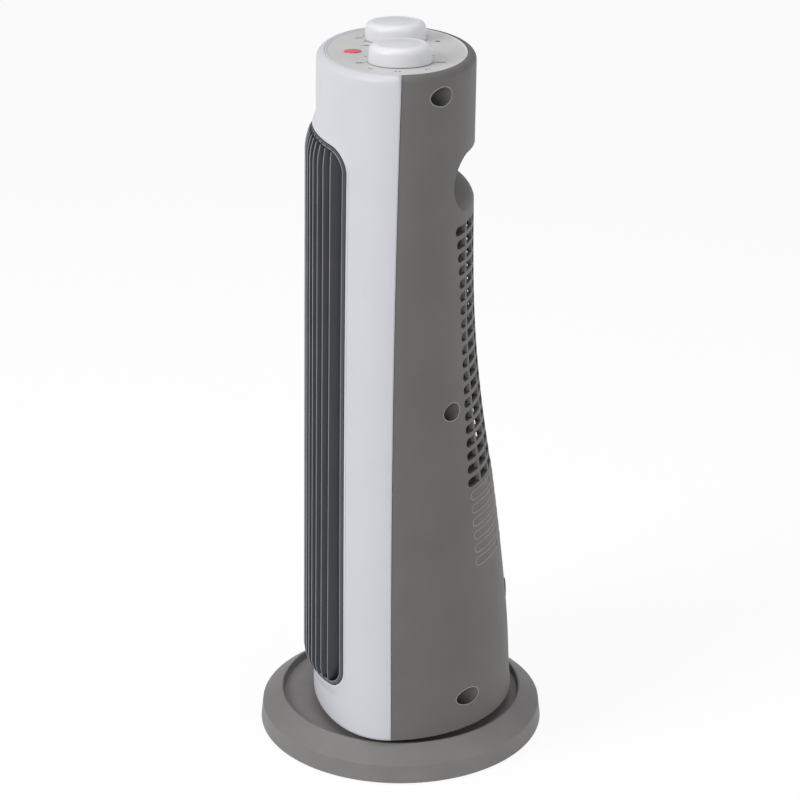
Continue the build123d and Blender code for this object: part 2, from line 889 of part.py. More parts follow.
def top_panel():
    """Plate with the knob and lamp holes, and posts below for the switch bracket."""
    body = extrude(full_plan(panel_bottom, panel_inset), amount=panel_thickness)
    for x, y in post_places():
        body += disc(post_radius, bracket_top, panel_bottom + panel_thickness / 2, x, y)
        body -= disc(pilot_radius, bracket_top, panel_bottom, x, y)
    for x in (-knob_x, knob_x):
        body -= disc(spindle_hole_radius, panel_bottom, panel_top, x, knob_y)
    return body - disc(lens_radius + pilot_clearance, panel_bottom, panel_top, lens_x, lens_y)


def control_bracket():
    """Steel plate that hangs from the panel's posts and carries the two switches."""
    body = block(-bracket_half_width, bracket_half_width, knob_y - bracket_half_depth, knob_y + bracket_half_depth,
                 bracket_bottom, bracket_top)
    for x, y in post_places():
        body -= disc(pilot_radius, bracket_bottom, bracket_top, x, y)
    for x in (-knob_x, knob_x):
        body -= disc(switch_neck_radius + pilot_clearance, bracket_bottom, bracket_top, x, knob_y)
    return body


def panel_screws():
    """Screws that hold the bracket to the posts."""
    length = bracket_thickness + bracket_drop - free_clearance
    return group([pan_screw(x, y, bracket_bottom, length, down=False) for x, y in post_places()])


def switch_bore(x, depth):
    """Space for a spindle in a switch."""
    neck_top = bracket_bottom + switch_neck_height
    return disc(spindle_radius + running_clearance, bracket_bottom - depth, neck_top, x, knob_y)


def selector_switch():
    """Rotary switch under the bracket, square, with a threaded neck."""
    half = switch_size / 2
    body = block(-knob_x - half, -knob_x + half, knob_y - half, knob_y + half,
                 bracket_bottom - switch_height, bracket_bottom)
    body += disc(switch_neck_radius, bracket_bottom, bracket_bottom + switch_neck_height, -knob_x, knob_y)
    return body - switch_bore(-knob_x, switch_height - switch_bore_floor)


def thermostat():
    """Round thermostat under the bracket."""
    body = disc(thermostat_radius, bracket_bottom - thermostat_height, bracket_bottom, knob_x, knob_y)
    body += disc(switch_neck_radius, bracket_bottom, bracket_bottom + switch_neck_height, knob_x, knob_y)
    return body - switch_bore(knob_x, thermostat_height - switch_bore_floor)


def spindle(x):
    """Spindle from a switch up into its knob."""
    bottom = bracket_bottom - thermostat_height / 2
    top = knob_bottom + knob_height - knob_wall - knob_dish - free_clearance
    return disc(spindle_radius, bottom, top, x, knob_y)


def knob(x):
    """Round knob: tapered skirt, rounded shoulder, slightly dished top and a stem inside."""
    top = knob_height
    taper = (knob_base_radius - knob_top_radius) / knob_height
    shoulder_low = knob_base_radius - taper * (top - knob_shoulder)
    face_radius = shoulder_low - knob_shoulder
    shoulder_mid = (face_radius + knob_shoulder * sin(pi / 4), top - knob_shoulder * (1 - cos(pi / 4)))
    outline = [
        Line((0, 0), (knob_base_radius, 0)),
        Line((knob_base_radius, 0), (shoulder_low, top - knob_shoulder)),
        ThreePointArc((shoulder_low, top - knob_shoulder), shoulder_mid, (face_radius, top)),
        Line((face_radius, top), (face_radius - knob_wall, top - knob_dish)),
        Line((face_radius - knob_wall, top - knob_dish), (0, top - knob_dish)),
        Line((0, top - knob_dish), (0, 0)),
    ]
    solid = revolve(Plane.XZ * make_face(outline), Axis.Z, 360)
    room = top - knob_wall - knob_dish
    hollow = disc(knob_base_radius - knob_wall - taper * room - knob_shoulder / 2, 0, room)
    solid -= hollow
    solid += disc(knob_stem_radius, 0, room + knob_wall / 2)
    solid -= disc(spindle_radius + pilot_clearance / 2, 0, room)
    return Pos(x, knob_y, knob_bottom) * solid


def indicator_lens():
    """Lens pushed up through the panel, with a flange below."""
    flange_top = panel_bottom - pilot_clearance
    body = disc(lens_radius, flange_top - lens_flange_thickness / 2, panel_top + lens_rise, lens_x, lens_y)
    body = fillet(body.edges().sort_by(Axis.Z)[-1:], lens_rise)
    return body + disc(lens_flange_radius, flange_top - lens_flange_thickness, flange_top, lens_x, lens_y)


def indicator_lamp():
    """Lamp in its holder, under the lens."""
    top = panel_bottom - pilot_clearance - lens_flange_thickness
    return disc(lamp_radius, top - lamp_length, top, lens_x, lens_y)


# Fan, its duct and its motor
duct_inner_top = duct_top - duct_plate
duct_inner_bottom = duct_bottom + duct_plate
fan_bottom = duct_inner_bottom + fan_end_gap
fan_top = duct_inner_top - fan_end_gap
stator_top = duct_bottom - stator_drop
stator_bottom = stator_top - stator_height
upper_bracket = stator_top + motor_bracket_gap
motor_screw_y = fan_y - motor_screw_reach
lower_bracket = stator_bottom - motor_bracket_gap - motor_bracket_thickness


def duct_plate_at(z):
    """End plate of the duct: as wide as the heater in front, rounded behind, with a wing to each shell wall."""
    rear = Pos(0, fan_y) * Circle(duct_rear_y - fan_y)
    front = Pos(0, (duct_front_y + fan_y) / 2) * Rectangle(2 * duct_half_width, fan_y - duct_front_y)
    plate = Pos(0, 0, z) * extrude(rear + front, amount=duct_plate)
    across = extrude(full_plan(z, shell_wall + floor_clearance), amount=duct_plate)
    strip = block(-foot_half_width, foot_half_width, fan_y - duct_wing_half_depth, fan_y + duct_wing_half_depth,
                  z, z + duct_plate)
    return plate + (across & strip)


def duct_side(points):
    """Upright curved wall of the duct, from three points of its plan."""
    outer = ThreePointArc(*points)
    inner = ThreePointArc(*[(x - duct_wall if x > 0 else x + duct_wall, y) for x, y in points])
    face = make_face([outer, Line(outer @ 1, inner @ 1), inner, Line(inner @ 0, outer @ 0)])
    return Pos(0, 0, duct_bottom) * extrude(face, amount=duct_top - duct_bottom)


def fan_housing():
    """Air duct: two end plates, the scroll wall on one side and the tongue on the other."""
    body = duct_plate_at(duct_bottom) + duct_plate_at(duct_inner_top)
    heater_back = duct_front_y + heater_depth
    mouth = fan_radius + duct_mouth_gap
    scroll = [(-duct_half_width, heater_back), (-fan_radius - scroll_gap, fan_y), (-mouth, fan_y + duct_mouth_step)]
    tongue = [(duct_half_width, heater_back), (fan_radius + tongue_gap, fan_y - duct_mouth_step), (mouth, fan_y)]
    body += duct_side(scroll) + duct_side(tongue)
    post_bottom = upper_bracket + motor_bracket_thickness
    for x in (-motor_screw_x, motor_screw_x):
        post = disc(post_radius, post_bottom, duct_bottom + duct_plate / 2, x, motor_screw_y)
        body += post - disc(pilot_radius, post_bottom, duct_bottom, x, motor_screw_y)
    body -= disc(hub_radius + free_clearance, duct_bottom, duct_inner_bottom, 0, fan_y)
    return body - disc(bush_radius, duct_inner_top, duct_top, 0, fan_y)


def impeller():
    """Drum of curved blades between discs, driven at its lower hub."""
    middle = (fan_bottom + fan_top) / 2
    half_disc = fan_disc_thickness / 2
    body = disc(fan_radius, fan_bottom, fan_bottom + fan_disc_thickness, 0, fan_y)
    body += disc(fan_radius, fan_top - fan_disc_thickness, fan_top, 0, fan_y)
    body += ring(fan_radius, fan_inner_radius, middle - half_disc, middle + half_disc, 0, fan_y)
    body += disc(hub_radius, fan_bottom, fan_bottom + hub_height, 0, fan_y)
    body += disc(hub_radius, fan_top - hub_height, fan_top, 0, fan_y)
    inner = (fan_inner_radius, 0)
    outer = (fan_radius * cos(radians(blade_turn)), fan_radius * sin(radians(blade_turn)))
    mid = ((inner[0] + outer[0]) / 2 + blade_bow_out, (inner[1] + outer[1]) / 2 - blade_bow_back)
    shift = fan_blade_thickness
    inner_back = (fan_inner_radius, shift)
    mid_back = (mid[0] - shift / 2, mid[1] + shift)
    outer_back = (outer[0] - shift / 2, outer[1] + shift)
    face = make_face([
        ThreePointArc(inner, mid, outer),
        Line(outer, outer_back),
        ThreePointArc(outer_back, mid_back, inner_back),
        Line(inner_back, inner),
    ])
    blade = Pos(0, fan_y, fan_bottom) * extrude(face, amount=fan_top - fan_bottom)
    axis = Axis((0, fan_y, 0), (0, 0, 1))
    body += [blade.rotate(axis, 360 * index / fan_blades) for index in range(fan_blades)]
    bore = shaft_radius + running_clearance / 2
    body -= disc(bore, fan_bottom, fan_bottom + hub_height, 0, fan_y)
    return body - disc(bore, fan_top - hub_height, fan_top, 0, fan_y)


def motor_shaft():
    """Motor's shaft, up into the lower hub of the impeller."""
    return disc(shaft_radius, lower_bracket - hub_height / 4, fan_bottom + hub_height - free_clearance, 0, fan_y)


def stub_shaft():
    """Short shaft on the upper hub of the impeller, in the top bearing."""
    return disc(shaft_radius, fan_top - hub_height + free_clearance, duct_top + hub_height / 4, 0, fan_y)


def top_bearing():
    """Bush in its soft ring, in the top plate of the duct."""
    flange = ring(bush_radius + 2 * pilot_clearance + post_radius / 2, shaft_radius + running_clearance, duct_top,
                  duct_top + duct_plate, 0, fan_y)
    sleeve = ring(bush_radius - pilot_clearance, shaft_radius + running_clearance, duct_inner_top, duct_top, 0, fan_y)
    return flange + sleeve


def motor_rotor():
    """Rotor on the motor's shaft."""
    return ring(rotor_radius, shaft_radius + running_clearance / 2, stator_bottom, stator_top, 0, fan_y)


def motor_stator():
    """Stack of laminations with the rotor's bore and the window for the coil."""
    body = block(stator_left_x, stator_right_x, fan_y - stator_half_depth, fan_y + stator_half_depth,
                 stator_bottom, stator_top)
    body -= disc(rotor_radius + air_gap, stator_bottom, stator_top, 0, fan_y)
    leg_left = stator_right_x - stator_leg
    reach = coil_half_depth + coil_clearance
    body -= block(leg_left - coil_thickness - coil_clearance, leg_left, fan_y - reach, fan_y + reach,
                  stator_bottom, stator_top)
    for x in (-motor_screw_x, motor_screw_x):
        body -= disc(pilot_radius, stator_bottom, stator_top, x, motor_screw_y)
    return body


def motor_coil():
    """Coil wound round the outer leg of the stack."""
    leg_left = stator_right_x - stator_leg
    core = block(leg_left - coil_clearance, stator_right_x + coil_clearance, fan_y - 2 * coil_half_depth,
                 fan_y + 2 * coil_half_depth, stator_bottom - coil_clearance, stator_top + coil_clearance)
    outer = block(leg_left - coil_thickness, stator_right_x + coil_thickness, fan_y - coil_half_depth,
                  fan_y + coil_half_depth, stator_bottom - coil_thickness, stator_top + coil_thickness)
    return outer - core


def motor_bridge(z, seat_from, seat_to):
    """One bridge across the motor with its bearing bush and feet on the stack."""
    body = block(-motor_screw_x - post_radius, motor_screw_x + post_radius, motor_screw_y - post_radius,
                 fan_y + bush_radius, z, z + motor_bracket_thickness)
    body += disc(hub_radius, min(z, seat_from), max(z + motor_bracket_thickness, seat_to), 0, fan_y)
    return body


def motor_brackets():
    """Bridges above and below the stack, which hold the shaft."""
    upper = motor_bridge(upper_bracket, upper_bracket, upper_bracket + 2 * motor_bracket_thickness)
    lower = motor_bridge(lower_bracket, lower_bracket - motor_bracket_thickness, lower_bracket)
    pieces = []
    for bridge, foot_from, foot_to in ((upper, stator_top, upper_bracket),
                                       (lower, lower_bracket + motor_bracket_thickness, stator_bottom)):
        for x in (-motor_screw_x, motor_screw_x):
            bridge += disc(post_radius, foot_from, foot_to, x, motor_screw_y)
            bridge -= disc(pilot_radius, lower_bracket - hub_height, duct_bottom, x, motor_screw_y)
        bore = disc(shaft_radius + running_clearance, lower_bracket - hub_height, duct_bottom, 0, fan_y)
        pieces.append(bridge - bore)
    return group(pieces)


def motor_screws():
    """Long screws through both bridges and the stack, into the posts of the duct."""
    length = duct_bottom - lower_bracket - free_clearance
    places = [(x, motor_screw_y) for x in (-motor_screw_x, motor_screw_x)]
    return group([pan_screw(x, y, lower_bracket, length, down=False) for x, y in places])


# Heater
heater_bottom = duct_inner_bottom
heater_top = duct_inner_top
heater_back_y = duct_front_y + heater_depth
heater_inner = heater_half_width - heater_border
heater_low = heater_bottom + heater_border
heater_high = heater_top - heater_border
heater_column_pitch = 2 * heater_inner / (heater_bar_count + 1)


def heater_frame():
    """Heat-proof frame between the end plates of the duct."""
    body = block(-heater_half_width, heater_half_width, duct_front_y, heater_back_y, heater_bottom, heater_top)
    return body - block(-heater_inner, heater_inner, duct_front_y, heater_back_y, heater_low, heater_high)


def ptc_bars():
    """Flat ceramic bars in the frame."""
    middle = (duct_front_y + heater_back_y) / 2
    bars = []
    for index in range(1, heater_bar_count + 1):
        x = -heater_inner + index * heater_column_pitch
        bars.append(block(x - heater_bar_width / 2, x + heater_bar_width / 2, middle - heater_bar_depth / 2,
                          middle + heater_bar_depth / 2, heater_low + heater_slip, heater_high - heater_slip))
    return group(bars)


def ptc_fins():
    """Ladders of thin aluminium between the bars."""
    middle = (duct_front_y + heater_back_y) / 2
    low, high = heater_low + heater_slip, heater_high - heater_slip
    half = heater_column_pitch / 2 - heater_bar_width / 2 - heater_slip
    y_from, y_to = middle - heater_bar_depth / 2, middle + heater_bar_depth / 2
    ladder = block(-half, -half + heater_fin_thickness, y_from, y_to, low, high)
    ladder += block(half - heater_fin_thickness, half, y_from, y_to, low, high)
    rungs = int((high - low) // heater_fin_pitch)
    ladder += [block(-half, half, y_from, y_to, low + index * heater_fin_pitch,
                     low + index * heater_fin_pitch + heater_fin_thickness) for index in range(rungs + 1)]
    columns = []
    for index in range(heater_bar_count + 1):
        columns.append(Pos(-heater_inner + (index + 0.5) * heater_column_pitch, 0, 0) * ladder)
    return group(columns)


def heater_terminals():
    """Push-on tabs at the side of the heater frame."""
    tabs = []
    y = duct_front_y + heater_depth / 4
    for index in range(tab_count):
        z = heater_low + index * tab_pitch
        tabs.append(block(heater_half_width, heater_half_width + tab_length, y - tab_thickness / 2,
                          y + tab_thickness / 2, z, z + tab_length))
    return group(tabs)


def thermal_cutout():
    """Round cut-out on the side of the heater frame, near its top."""
    y = (duct_front_y + heater_back_y) / 2
    place = Pos(heater_half_width, y, heater_high - cutout_below_top) * Rot(0, 90, 0)
    return place * extrude(Circle(cutout_radius), amount=cutout_height)


def thermal_fuse():
    """Fuse in its clip on the other side of the heater frame."""
    z = heater_high - fuse_below_top
    y = (duct_front_y + heater_back_y) / 2
    clip_x = -heater_half_width - fuse_clip_thickness
    clip = block(clip_x, -heater_half_width, y - fuse_clip_half_width, y + fuse_clip_half_width,
                 z - fuse_clip_height / 2, z + fuse_clip_height / 2)
    fuse_x = clip_x - fuse_radius + fuse_clip_thickness / 3
    return clip + disc(fuse_radius, z - fuse_length / 2, z + fuse_length / 2, fuse_x, y)


def terminal_block():
    """Terminal block on the tower floor."""
    (width, depth, height), (x, y) = terminal_size, terminal_place
    body = block(x - width / 2, x + width / 2, y - depth / 2, y + depth / 2, floor_top, floor_top + height)
    pitch = width / terminal_ways
    top = floor_top + height
    for index in range(terminal_ways):
        place = x - width / 2 + (index + 0.5) * pitch
        body -= disc(terminal_hole_radius, top - terminal_hole_depth, top, place, y)
    return body


def tip_over_switch():
    """Sealed tilt switch on the tower floor."""
    (width, depth, height), (x, y) = tilt_size, tilt_place
    body = block(x - width / 2, x + width / 2, y - depth / 2, y + depth / 2, floor_top, floor_top + height)
    return fillet(body.edges().filter_by(Axis.Z), tilt_corner)


pieces = {
    "base_cover": base_cover,
    "base_plate": base_plate,
    "base_weight": base_weight,
    "rubber_feet": rubber_feet,
    "base_screws": base_screws,
    "swivel_bearing": swivel_bearing,
    "swivel_retainer": swivel_retainer,
    "retainer_screws": retainer_screws,
    "crank_guide": crank_guide,
    "oscillation_crank": oscillation_crank,
    "oscillation_shaft": oscillation_shaft,
    "oscillation_motor": oscillation_motor,
    "oscillation_screws": oscillation_screws,
    "tower_floor": tower_floor,
    "floor_screws": floor_screws,
    "front_shell": front_shell,
    "rear_shell": rear_shell,
    "shell_screws": shell_screws,
    "cord_gland": cord_gland,
    "outlet_grille": outlet_grille,
    "top_panel": top_panel,
    "panel_screws": panel_screws,
    "control_bracket": control_bracket,
    "selector_switch": selector_switch,
    "thermostat": thermostat,
    "selector_spindle": lambda: spindle(-knob_x),
    "thermostat_spindle": lambda: spindle(knob_x),
    "selector_knob": lambda: knob(-knob_x),
    "thermostat_knob": lambda: knob(knob_x),
    "indicator_lens": indicator_lens,
    "indicator_lamp": indicator_lamp,
    "fan_housing": fan_housing,
    "impeller": impeller,
    "motor_shaft": motor_shaft,
    "stub_shaft": stub_shaft,
    "top_bearing": top_bearing,
    "motor_rotor": motor_rotor,
    "motor_stator": motor_stator,
    "motor_coil": motor_coil,
    "motor_brackets": motor_brackets,
    "motor_screws": motor_screws,
    "heater_frame": heater_frame,
    "ptc_bars": ptc_bars,
    "ptc_fins": ptc_fins,
    "heater_terminals": heater_terminals,
    "thermal_cutout": thermal_cutout,
    "thermal_fuse": thermal_fuse,
    "terminal_block": terminal_block,
    "tip_over_switch": tip_over_switch,
}

for name, make in pieces.items():
    export_step(make(), f"parts/{name}.step")
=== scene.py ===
"""Looks of the tower fan heater: finishes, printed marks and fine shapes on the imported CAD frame.

Metres, in the frame's own axes: +Z up, the outlet grille faces -Y, the knobs stand side by side along X.
"""

import math

import bmesh
import bpy
from mathutils import Matrix, Vector


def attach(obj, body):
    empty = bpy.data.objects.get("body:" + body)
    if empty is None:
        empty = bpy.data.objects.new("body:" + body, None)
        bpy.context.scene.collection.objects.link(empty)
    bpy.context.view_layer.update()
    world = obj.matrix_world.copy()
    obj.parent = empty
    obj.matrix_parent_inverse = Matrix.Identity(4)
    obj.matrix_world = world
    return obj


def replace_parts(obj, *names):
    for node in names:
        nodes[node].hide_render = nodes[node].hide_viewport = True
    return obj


MM = 0.001
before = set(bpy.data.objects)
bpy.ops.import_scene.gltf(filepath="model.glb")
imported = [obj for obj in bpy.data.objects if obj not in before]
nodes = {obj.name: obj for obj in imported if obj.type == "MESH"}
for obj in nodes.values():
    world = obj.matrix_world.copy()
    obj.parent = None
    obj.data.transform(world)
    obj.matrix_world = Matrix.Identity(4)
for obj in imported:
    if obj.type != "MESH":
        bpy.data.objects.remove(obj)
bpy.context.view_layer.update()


# Camera at the photograph's angle
def make_camera():
    """Camera fitted to the photograph: its place in metres, its tilt below level and its turn in degrees."""
    tilt_down, turn = 21.307, 87.417
    data = bpy.data.cameras.new("camera")
    data.lens = 96.85
    data.sensor_width = 36.0
    data.clip_start = 0.05
    data.clip_end = 60.0
    camera = bpy.data.objects.new("camera", data)
    camera.location = (1.4985, -0.0681, 0.8497)
    camera.rotation_euler = (math.radians(90 - tilt_down), 0, math.radians(turn))
    bpy.context.scene.collection.objects.link(camera)
    bpy.context.scene.camera = camera


# Node and colour helpers
def linear(hex_colour):
    """Linear RGBA of an sRGB hex colour."""
    values = [int(hex_colour[i : i + 2], 16) / 255 for i in (1, 3, 5)]
    return [v / 12.92 if v <= 0.04045 else ((v + 0.055) / 1.055) ** 2.4 for v in values] + [1.0]


def add(tree, kind, inputs=None, **settings):
    """One node: settings are its own properties, inputs the values of its sockets or what feeds them."""
    made = tree.nodes.new(kind)
    for key, value in settings.items():
        setattr(made, key, value)
    for key, value in (inputs or {}).items():
        if isinstance(value, bpy.types.NodeSocket):
            tree.links.new(value, made.inputs[key])
        else:
            made.inputs[key].default_value = value
    return made


def start_material(name):
    """Empty material with its tree and the place of each point on the object."""
    material = bpy.data.materials.new(name)
    material.use_nodes = True
    tree = material.node_tree
    tree.nodes.clear()
    place = add(tree, "ShaderNodeTexCoord").outputs["Object"]
    return material, tree, place


def moulded(name, colour, deep, roughness, grain, grain_height, patch=35.0, shade=None, reach=8.0, **shader):
    """Injection moulded plastic: colour drifts to deep in broad patches, over a spark-eroded grain in mm.

    In corners and slots nearer than reach it falls to shade: painted shade, taken from ambient occlusion.
    """
    material, tree, place = start_material(name)
    broad = add(tree, "ShaderNodeTexNoise", {"Vector": place, "Scale": 1000 / patch, "Detail": 3.0})
    fine = add(tree, "ShaderNodeTexNoise", {"Vector": place, "Scale": 1000 / grain, "Detail": 2.0})
    blotch = add(tree, "ShaderNodeMapRange", {"Value": broad.outputs["Fac"], 1: 0.35, 2: 0.65,
                                              3: 0.0, 4: 1.0})
    tone = add(tree, "ShaderNodeMix", {0: blotch.outputs[0], 6: linear(colour), 7: linear(deep)},
               data_type="RGBA")
    # Painted shade: ambient occlusion pulls the colour towards shade in corners, wells and slots
    if shade:
        open_share = add(tree, "ShaderNodeAmbientOcclusion", {"Distance": reach * MM}, samples=8)
        share = add(tree, "ShaderNodeMapRange", {"Value": open_share.outputs["AO"], 1: 0.25, 2: 0.85,
                                                 3: 0.0, 4: 1.0})
        tone = add(tree, "ShaderNodeMix", {0: share.outputs[0], 6: linear(shade), 7: tone.outputs[2]},
                   data_type="RGBA")
    gloss = add(tree, "ShaderNodeMapRange", {"Value": fine.outputs["Fac"], 1: 0.3, 2: 0.7,
                                             3: roughness - 0.05, 4: roughness + 0.06})
    bump = add(tree, "ShaderNodeBump", {"Height": fine.outputs["Fac"], "Distance": grain_height * MM,
                                        "Strength": 1.0})
    surface = add(tree, "ShaderNodeBsdfPrincipled", {"Base Color": tone.outputs[2],
                                                     "Roughness": gloss.outputs[0],
                                                     "Normal": bump.outputs[0], "IOR": 1.5, **shader})
    add(tree, "ShaderNodeOutputMaterial", {"Surface": surface.outputs[0]})
    return material


def worked_metal(name, colour, roughness, streak, height, stretch=(1.0, 1.0, 12.0)):
    """Metal with marks of its making, drawn out along one way; streak is their spacing in mm."""
    material, tree, place = start_material(name)
    drawn = add(tree, "ShaderNodeMapping", {"Vector": place, "Scale": [1 / s for s in stretch]})
    marks = add(tree, "ShaderNodeTexNoise", {"Vector": drawn.outputs[0], "Scale": 1000 / streak,
                                             "Detail": 4.0})
    gloss = add(tree, "ShaderNodeMapRange", {"Value": marks.outputs["Fac"], 1: 0.3, 2: 0.7,
                                             3: roughness - 0.08, 4: roughness + 0.1})
    bump = add(tree, "ShaderNodeBump", {"Height": marks.outputs["Fac"], "Distance": height * MM,
                                        "Strength": 0.6})
    surface = add(tree, "ShaderNodeBsdfPrincipled", {"Base Color": linear(colour), "Metallic": 1.0,
                                                    "Roughness": gloss.outputs[0], "Normal": bump.outputs[0]})
    add(tree, "ShaderNodeOutputMaterial", {"Surface": surface.outputs[0]})
    return material


# Finishes. White moulded ABS of the front shell: clean, satin, with a hardly visible grain
white_abs = moulded("white_abs_satin", "#D5D6DB", "#D3D4D9", 0.40, 0.9, 0.008)
# Grey moulded ABS of the rear shell: warm grey, matt, evenly grained so that it shows no sharp glints;
# painted shade darkens it in the screw wells, grip and slots
grey_abs = moulded("grey_abs_textured", "#6E6C69", "#6A6865", 0.56, 0.8, 0.04, shade="#2E2D2D", reach=20.0)
# Lighter grey ABS of the base, the same grain
base_abs = moulded("base_abs_textured", "#858280", "#7F7C7A", 0.52, 0.8, 0.04)
# Charcoal plastic of the grille, heat-proof and a little glossier than the shells; painted shade darkens it
# between the fins
charcoal_abs = moulded("charcoal_abs_grille", "#3E3F45", "#393A40", 0.38, 0.7, 0.012,
                       shade="#18191C", reach=9.0)
# The rounded noses of the grille's fins and the frame's inner edge: the same plastic, with a painted
# highlight where they catch the light
charcoal_painted_highlight = moulded("charcoal_abs_painted_highlight", "#8E8F95", "#86878D", 0.3, 0.7, 0.004)
# Rims of the screw wells and blind rows: grey plastic with a painted highlight, paler where their edges catch
# the light
grey_painted_highlight = moulded("grey_abs_painted_highlight", "#A3A09C", "#9A9793", 0.45, 0.8, 0.01)
# Pale panel plastic, satin
panel_abs = moulded("panel_abs_satin", "#D2D0CF", "#CBC9C8", 0.42, 0.9, 0.012)
# Frosted acrylic of the knobs: light goes in and scatters, so they look milky with bright rims
knob_acrylic = moulded("knob_acrylic_frosted", "#ECECEE", "#E6E6E9", 0.34, 0.6, 0.01,
                       **{"Subsurface Weight": 0.6, "Subsurface Radius": (0.006, 0.006, 0.006),
                          "Subsurface Scale": 1.0, "Coat Weight": 0.15, "Coat Roughness": 0.2})
# Red acrylic lens, smooth and saturated: it glows only with the light that falls on it
red_lens = moulded("red_acrylic_lens", "#F2383C", "#EA2C31", 0.18, 2.0, 0.004, patch=5.0,
                   **{"Subsurface Weight": 0.3, "Subsurface Radius": (0.004, 0.0006, 0.0006),
                      "Subsurface Scale": 1.0, "Coat Weight": 0.5, "Coat Roughness": 0.08})
# Black nylon and phenolic inside: dull and plain
black_nylon = moulded("black_nylon_moulded", "#26262A", "#202024", 0.5, 0.7, 0.03)
# White acetal slide ring, waxy
white_acetal = moulded("white_acetal_turned", "#E9E7E0", "#E2E0D8", 0.35, 0.8, 0.01)
# Heat-proof glass-filled plastic round the heater: off-white, dry
heatproof_plastic = moulded("heatproof_plastic_glass_filled", "#D8D2C4", "#CBC4B4", 0.6, 1.2, 0.05)
# Soft black rubber of the feet
rubber = moulded("rubber_black", "#232323", "#1C1C1C", 0.75, 0.9, 0.05)
# Ceramic bars, dark and dense
ceramic = moulded("ceramic_dark", "#4A4643", "#3F3B39", 0.6, 0.5, 0.03)
# Enamelled wire of the coil, glossy brown-red
enamel_wire = moulded("copper_wire_enamelled", "#8A3F1E", "#6E2F16", 0.3, 0.5, 0.12)
# Lamp body under the lens, glassy
lamp_glass = moulded("lamp_glass_milky", "#E7E4DC", "#DDD9CF", 0.15, 2.0, 0.003)
# Zinc-plated steel sheet: pale, slightly mottled
zinc_steel = worked_metal("steel_zinc_plated", "#B9BCBF", 0.38, 2.5, 0.01, (1.0, 1.0, 1.0))
# Blackened steel screws, turned
black_steel = worked_metal("steel_blackened", "#4C4C50", 0.42, 0.6, 0.01, (1.0, 1.0, 1.0))
# Cast iron weight, rough sand-cast skin
cast_iron = worked_metal("iron_cast", "#55534F", 0.62, 2.0, 0.25, (1.0, 1.0, 1.0))
# Rolled aluminium fins, bright with long rolling marks
aluminium = worked_metal("aluminium_rolled", "#D5D6D8", 0.32, 0.6, 0.01)
# Black print on the panel: thin, dull ink
ink = moulded("ink_black_printed", "#202124", "#191A1C", 0.5, 0.5, 0.002)
# Brass tabs and bushes
brass = worked_metal("brass_stamped", "#C9A85C", 0.34, 0.8, 0.01, (1.0, 1.0, 1.0))

# Finish and slot of each CAD node
finishes = {
    "base_cover": (base_abs, "base_abs"),
    "base_plate": (zinc_steel, "zinc_steel"),
    "base_weight": (cast_iron, "cast_weight"),
    "rubber_feet": (rubber, "rubber"),
    "base_screws": (black_steel, "black_screw"),
    "swivel_bearing": (white_acetal, "white_acetal"),
    "swivel_retainer": (zinc_steel, "zinc_steel"),
    "retainer_screws": (black_steel, "black_screw"),
    "crank_guide": (white_acetal, "white_acetal"),
    "oscillation_crank": (black_nylon, "black_nylon"),
    "oscillation_shaft": (zinc_steel, "zinc_steel"),
    "oscillation_motor": (zinc_steel, "zinc_steel"),
    "oscillation_screws": (black_steel, "black_screw"),
    "tower_floor": (black_nylon, "black_nylon"),
    "floor_screws": (black_steel, "black_screw"),
    "front_shell": (white_abs, "white_abs"),
    "rear_shell": (grey_abs, "grey_abs"),
    "shell_screws": (black_steel, "black_screw"),
    "cord_gland": (black_nylon, "black_nylon"),
    "outlet_grille": (charcoal_abs, "charcoal_abs"),
    "top_panel": (panel_abs, "panel_abs"),
    "panel_screws": (black_steel, "black_screw"),
    "control_bracket": (zinc_steel, "zinc_steel"),
    "selector_switch": (black_nylon, "black_nylon"),
    "thermostat": (heatproof_plastic, "heatproof_plastic"),
    "selector_spindle": (zinc_steel, "zinc_steel"),
    "thermostat_spindle": (zinc_steel, "zinc_steel"),
    "selector_knob": (knob_acrylic, "knob_acrylic"),
    "thermostat_knob": (knob_acrylic, "knob_acrylic"),
    "indicator_lens": (red_lens, "red_lens"),
    "indicator_lamp": (lamp_glass, "lamp_glass"),
    "fan_housing": (black_nylon, "black_nylon"),
    "impeller": (black_nylon, "black_nylon"),
    "motor_shaft": (zinc_steel, "zinc_steel"),
    "stub_shaft": (zinc_steel, "zinc_steel"),
    "top_bearing": (brass, "brass"),
    "motor_rotor": (aluminium, "aluminium"),
    "motor_stator": (zinc_steel, "zinc_steel"),
    "motor_coil": (enamel_wire, "copper_winding"),
    "motor_brackets": (aluminium, "aluminium"),
    "motor_screws": (black_steel, "black_screw"),
    "heater_frame": (heatproof_plastic, "heatproof_plastic"),
    "ptc_bars": (ceramic, "heatproof_plastic"),
    "ptc_fins": (aluminium, "aluminium"),
    "heater_terminals": (brass, "brass"),
    "thermal_cutout": (heatproof_plastic, "heatproof_plastic"),
    "thermal_fuse": (white_acetal, "white_acetal"),
    "terminal_block": (white_acetal, "white_acetal"),
    "tip_over_switch": (black_nylon, "black_nylon"),
}


# Lines of the tower, in mm, as the shells have them
foot_z, top_z = 29.3, 529.6
foot_half_width, top_narrowing = 95.6, 8.2
front_foot_y, front_lean = -68.4, 8.8
seam_foot_y, seam_lean, seam_bend = -11.3, 8.2, 2.2
seam_gap = 0.3
shoulder = 5.5
shoulder_z = top_z - shoulder
rear_stations = ((foot_z, 86.3), (110.0, 80.6), (200.0, 70.1), (265.0, 60.6), (330.0, 54.5), (400.0, 52.6),
                 (top_z, 53.3))
panel_z, panel_inset = 528.9, 5.9
knob_x, knob_y, knob_lift = 38.0, -1.9, 0.4
quarter_turn = math.pi / 2

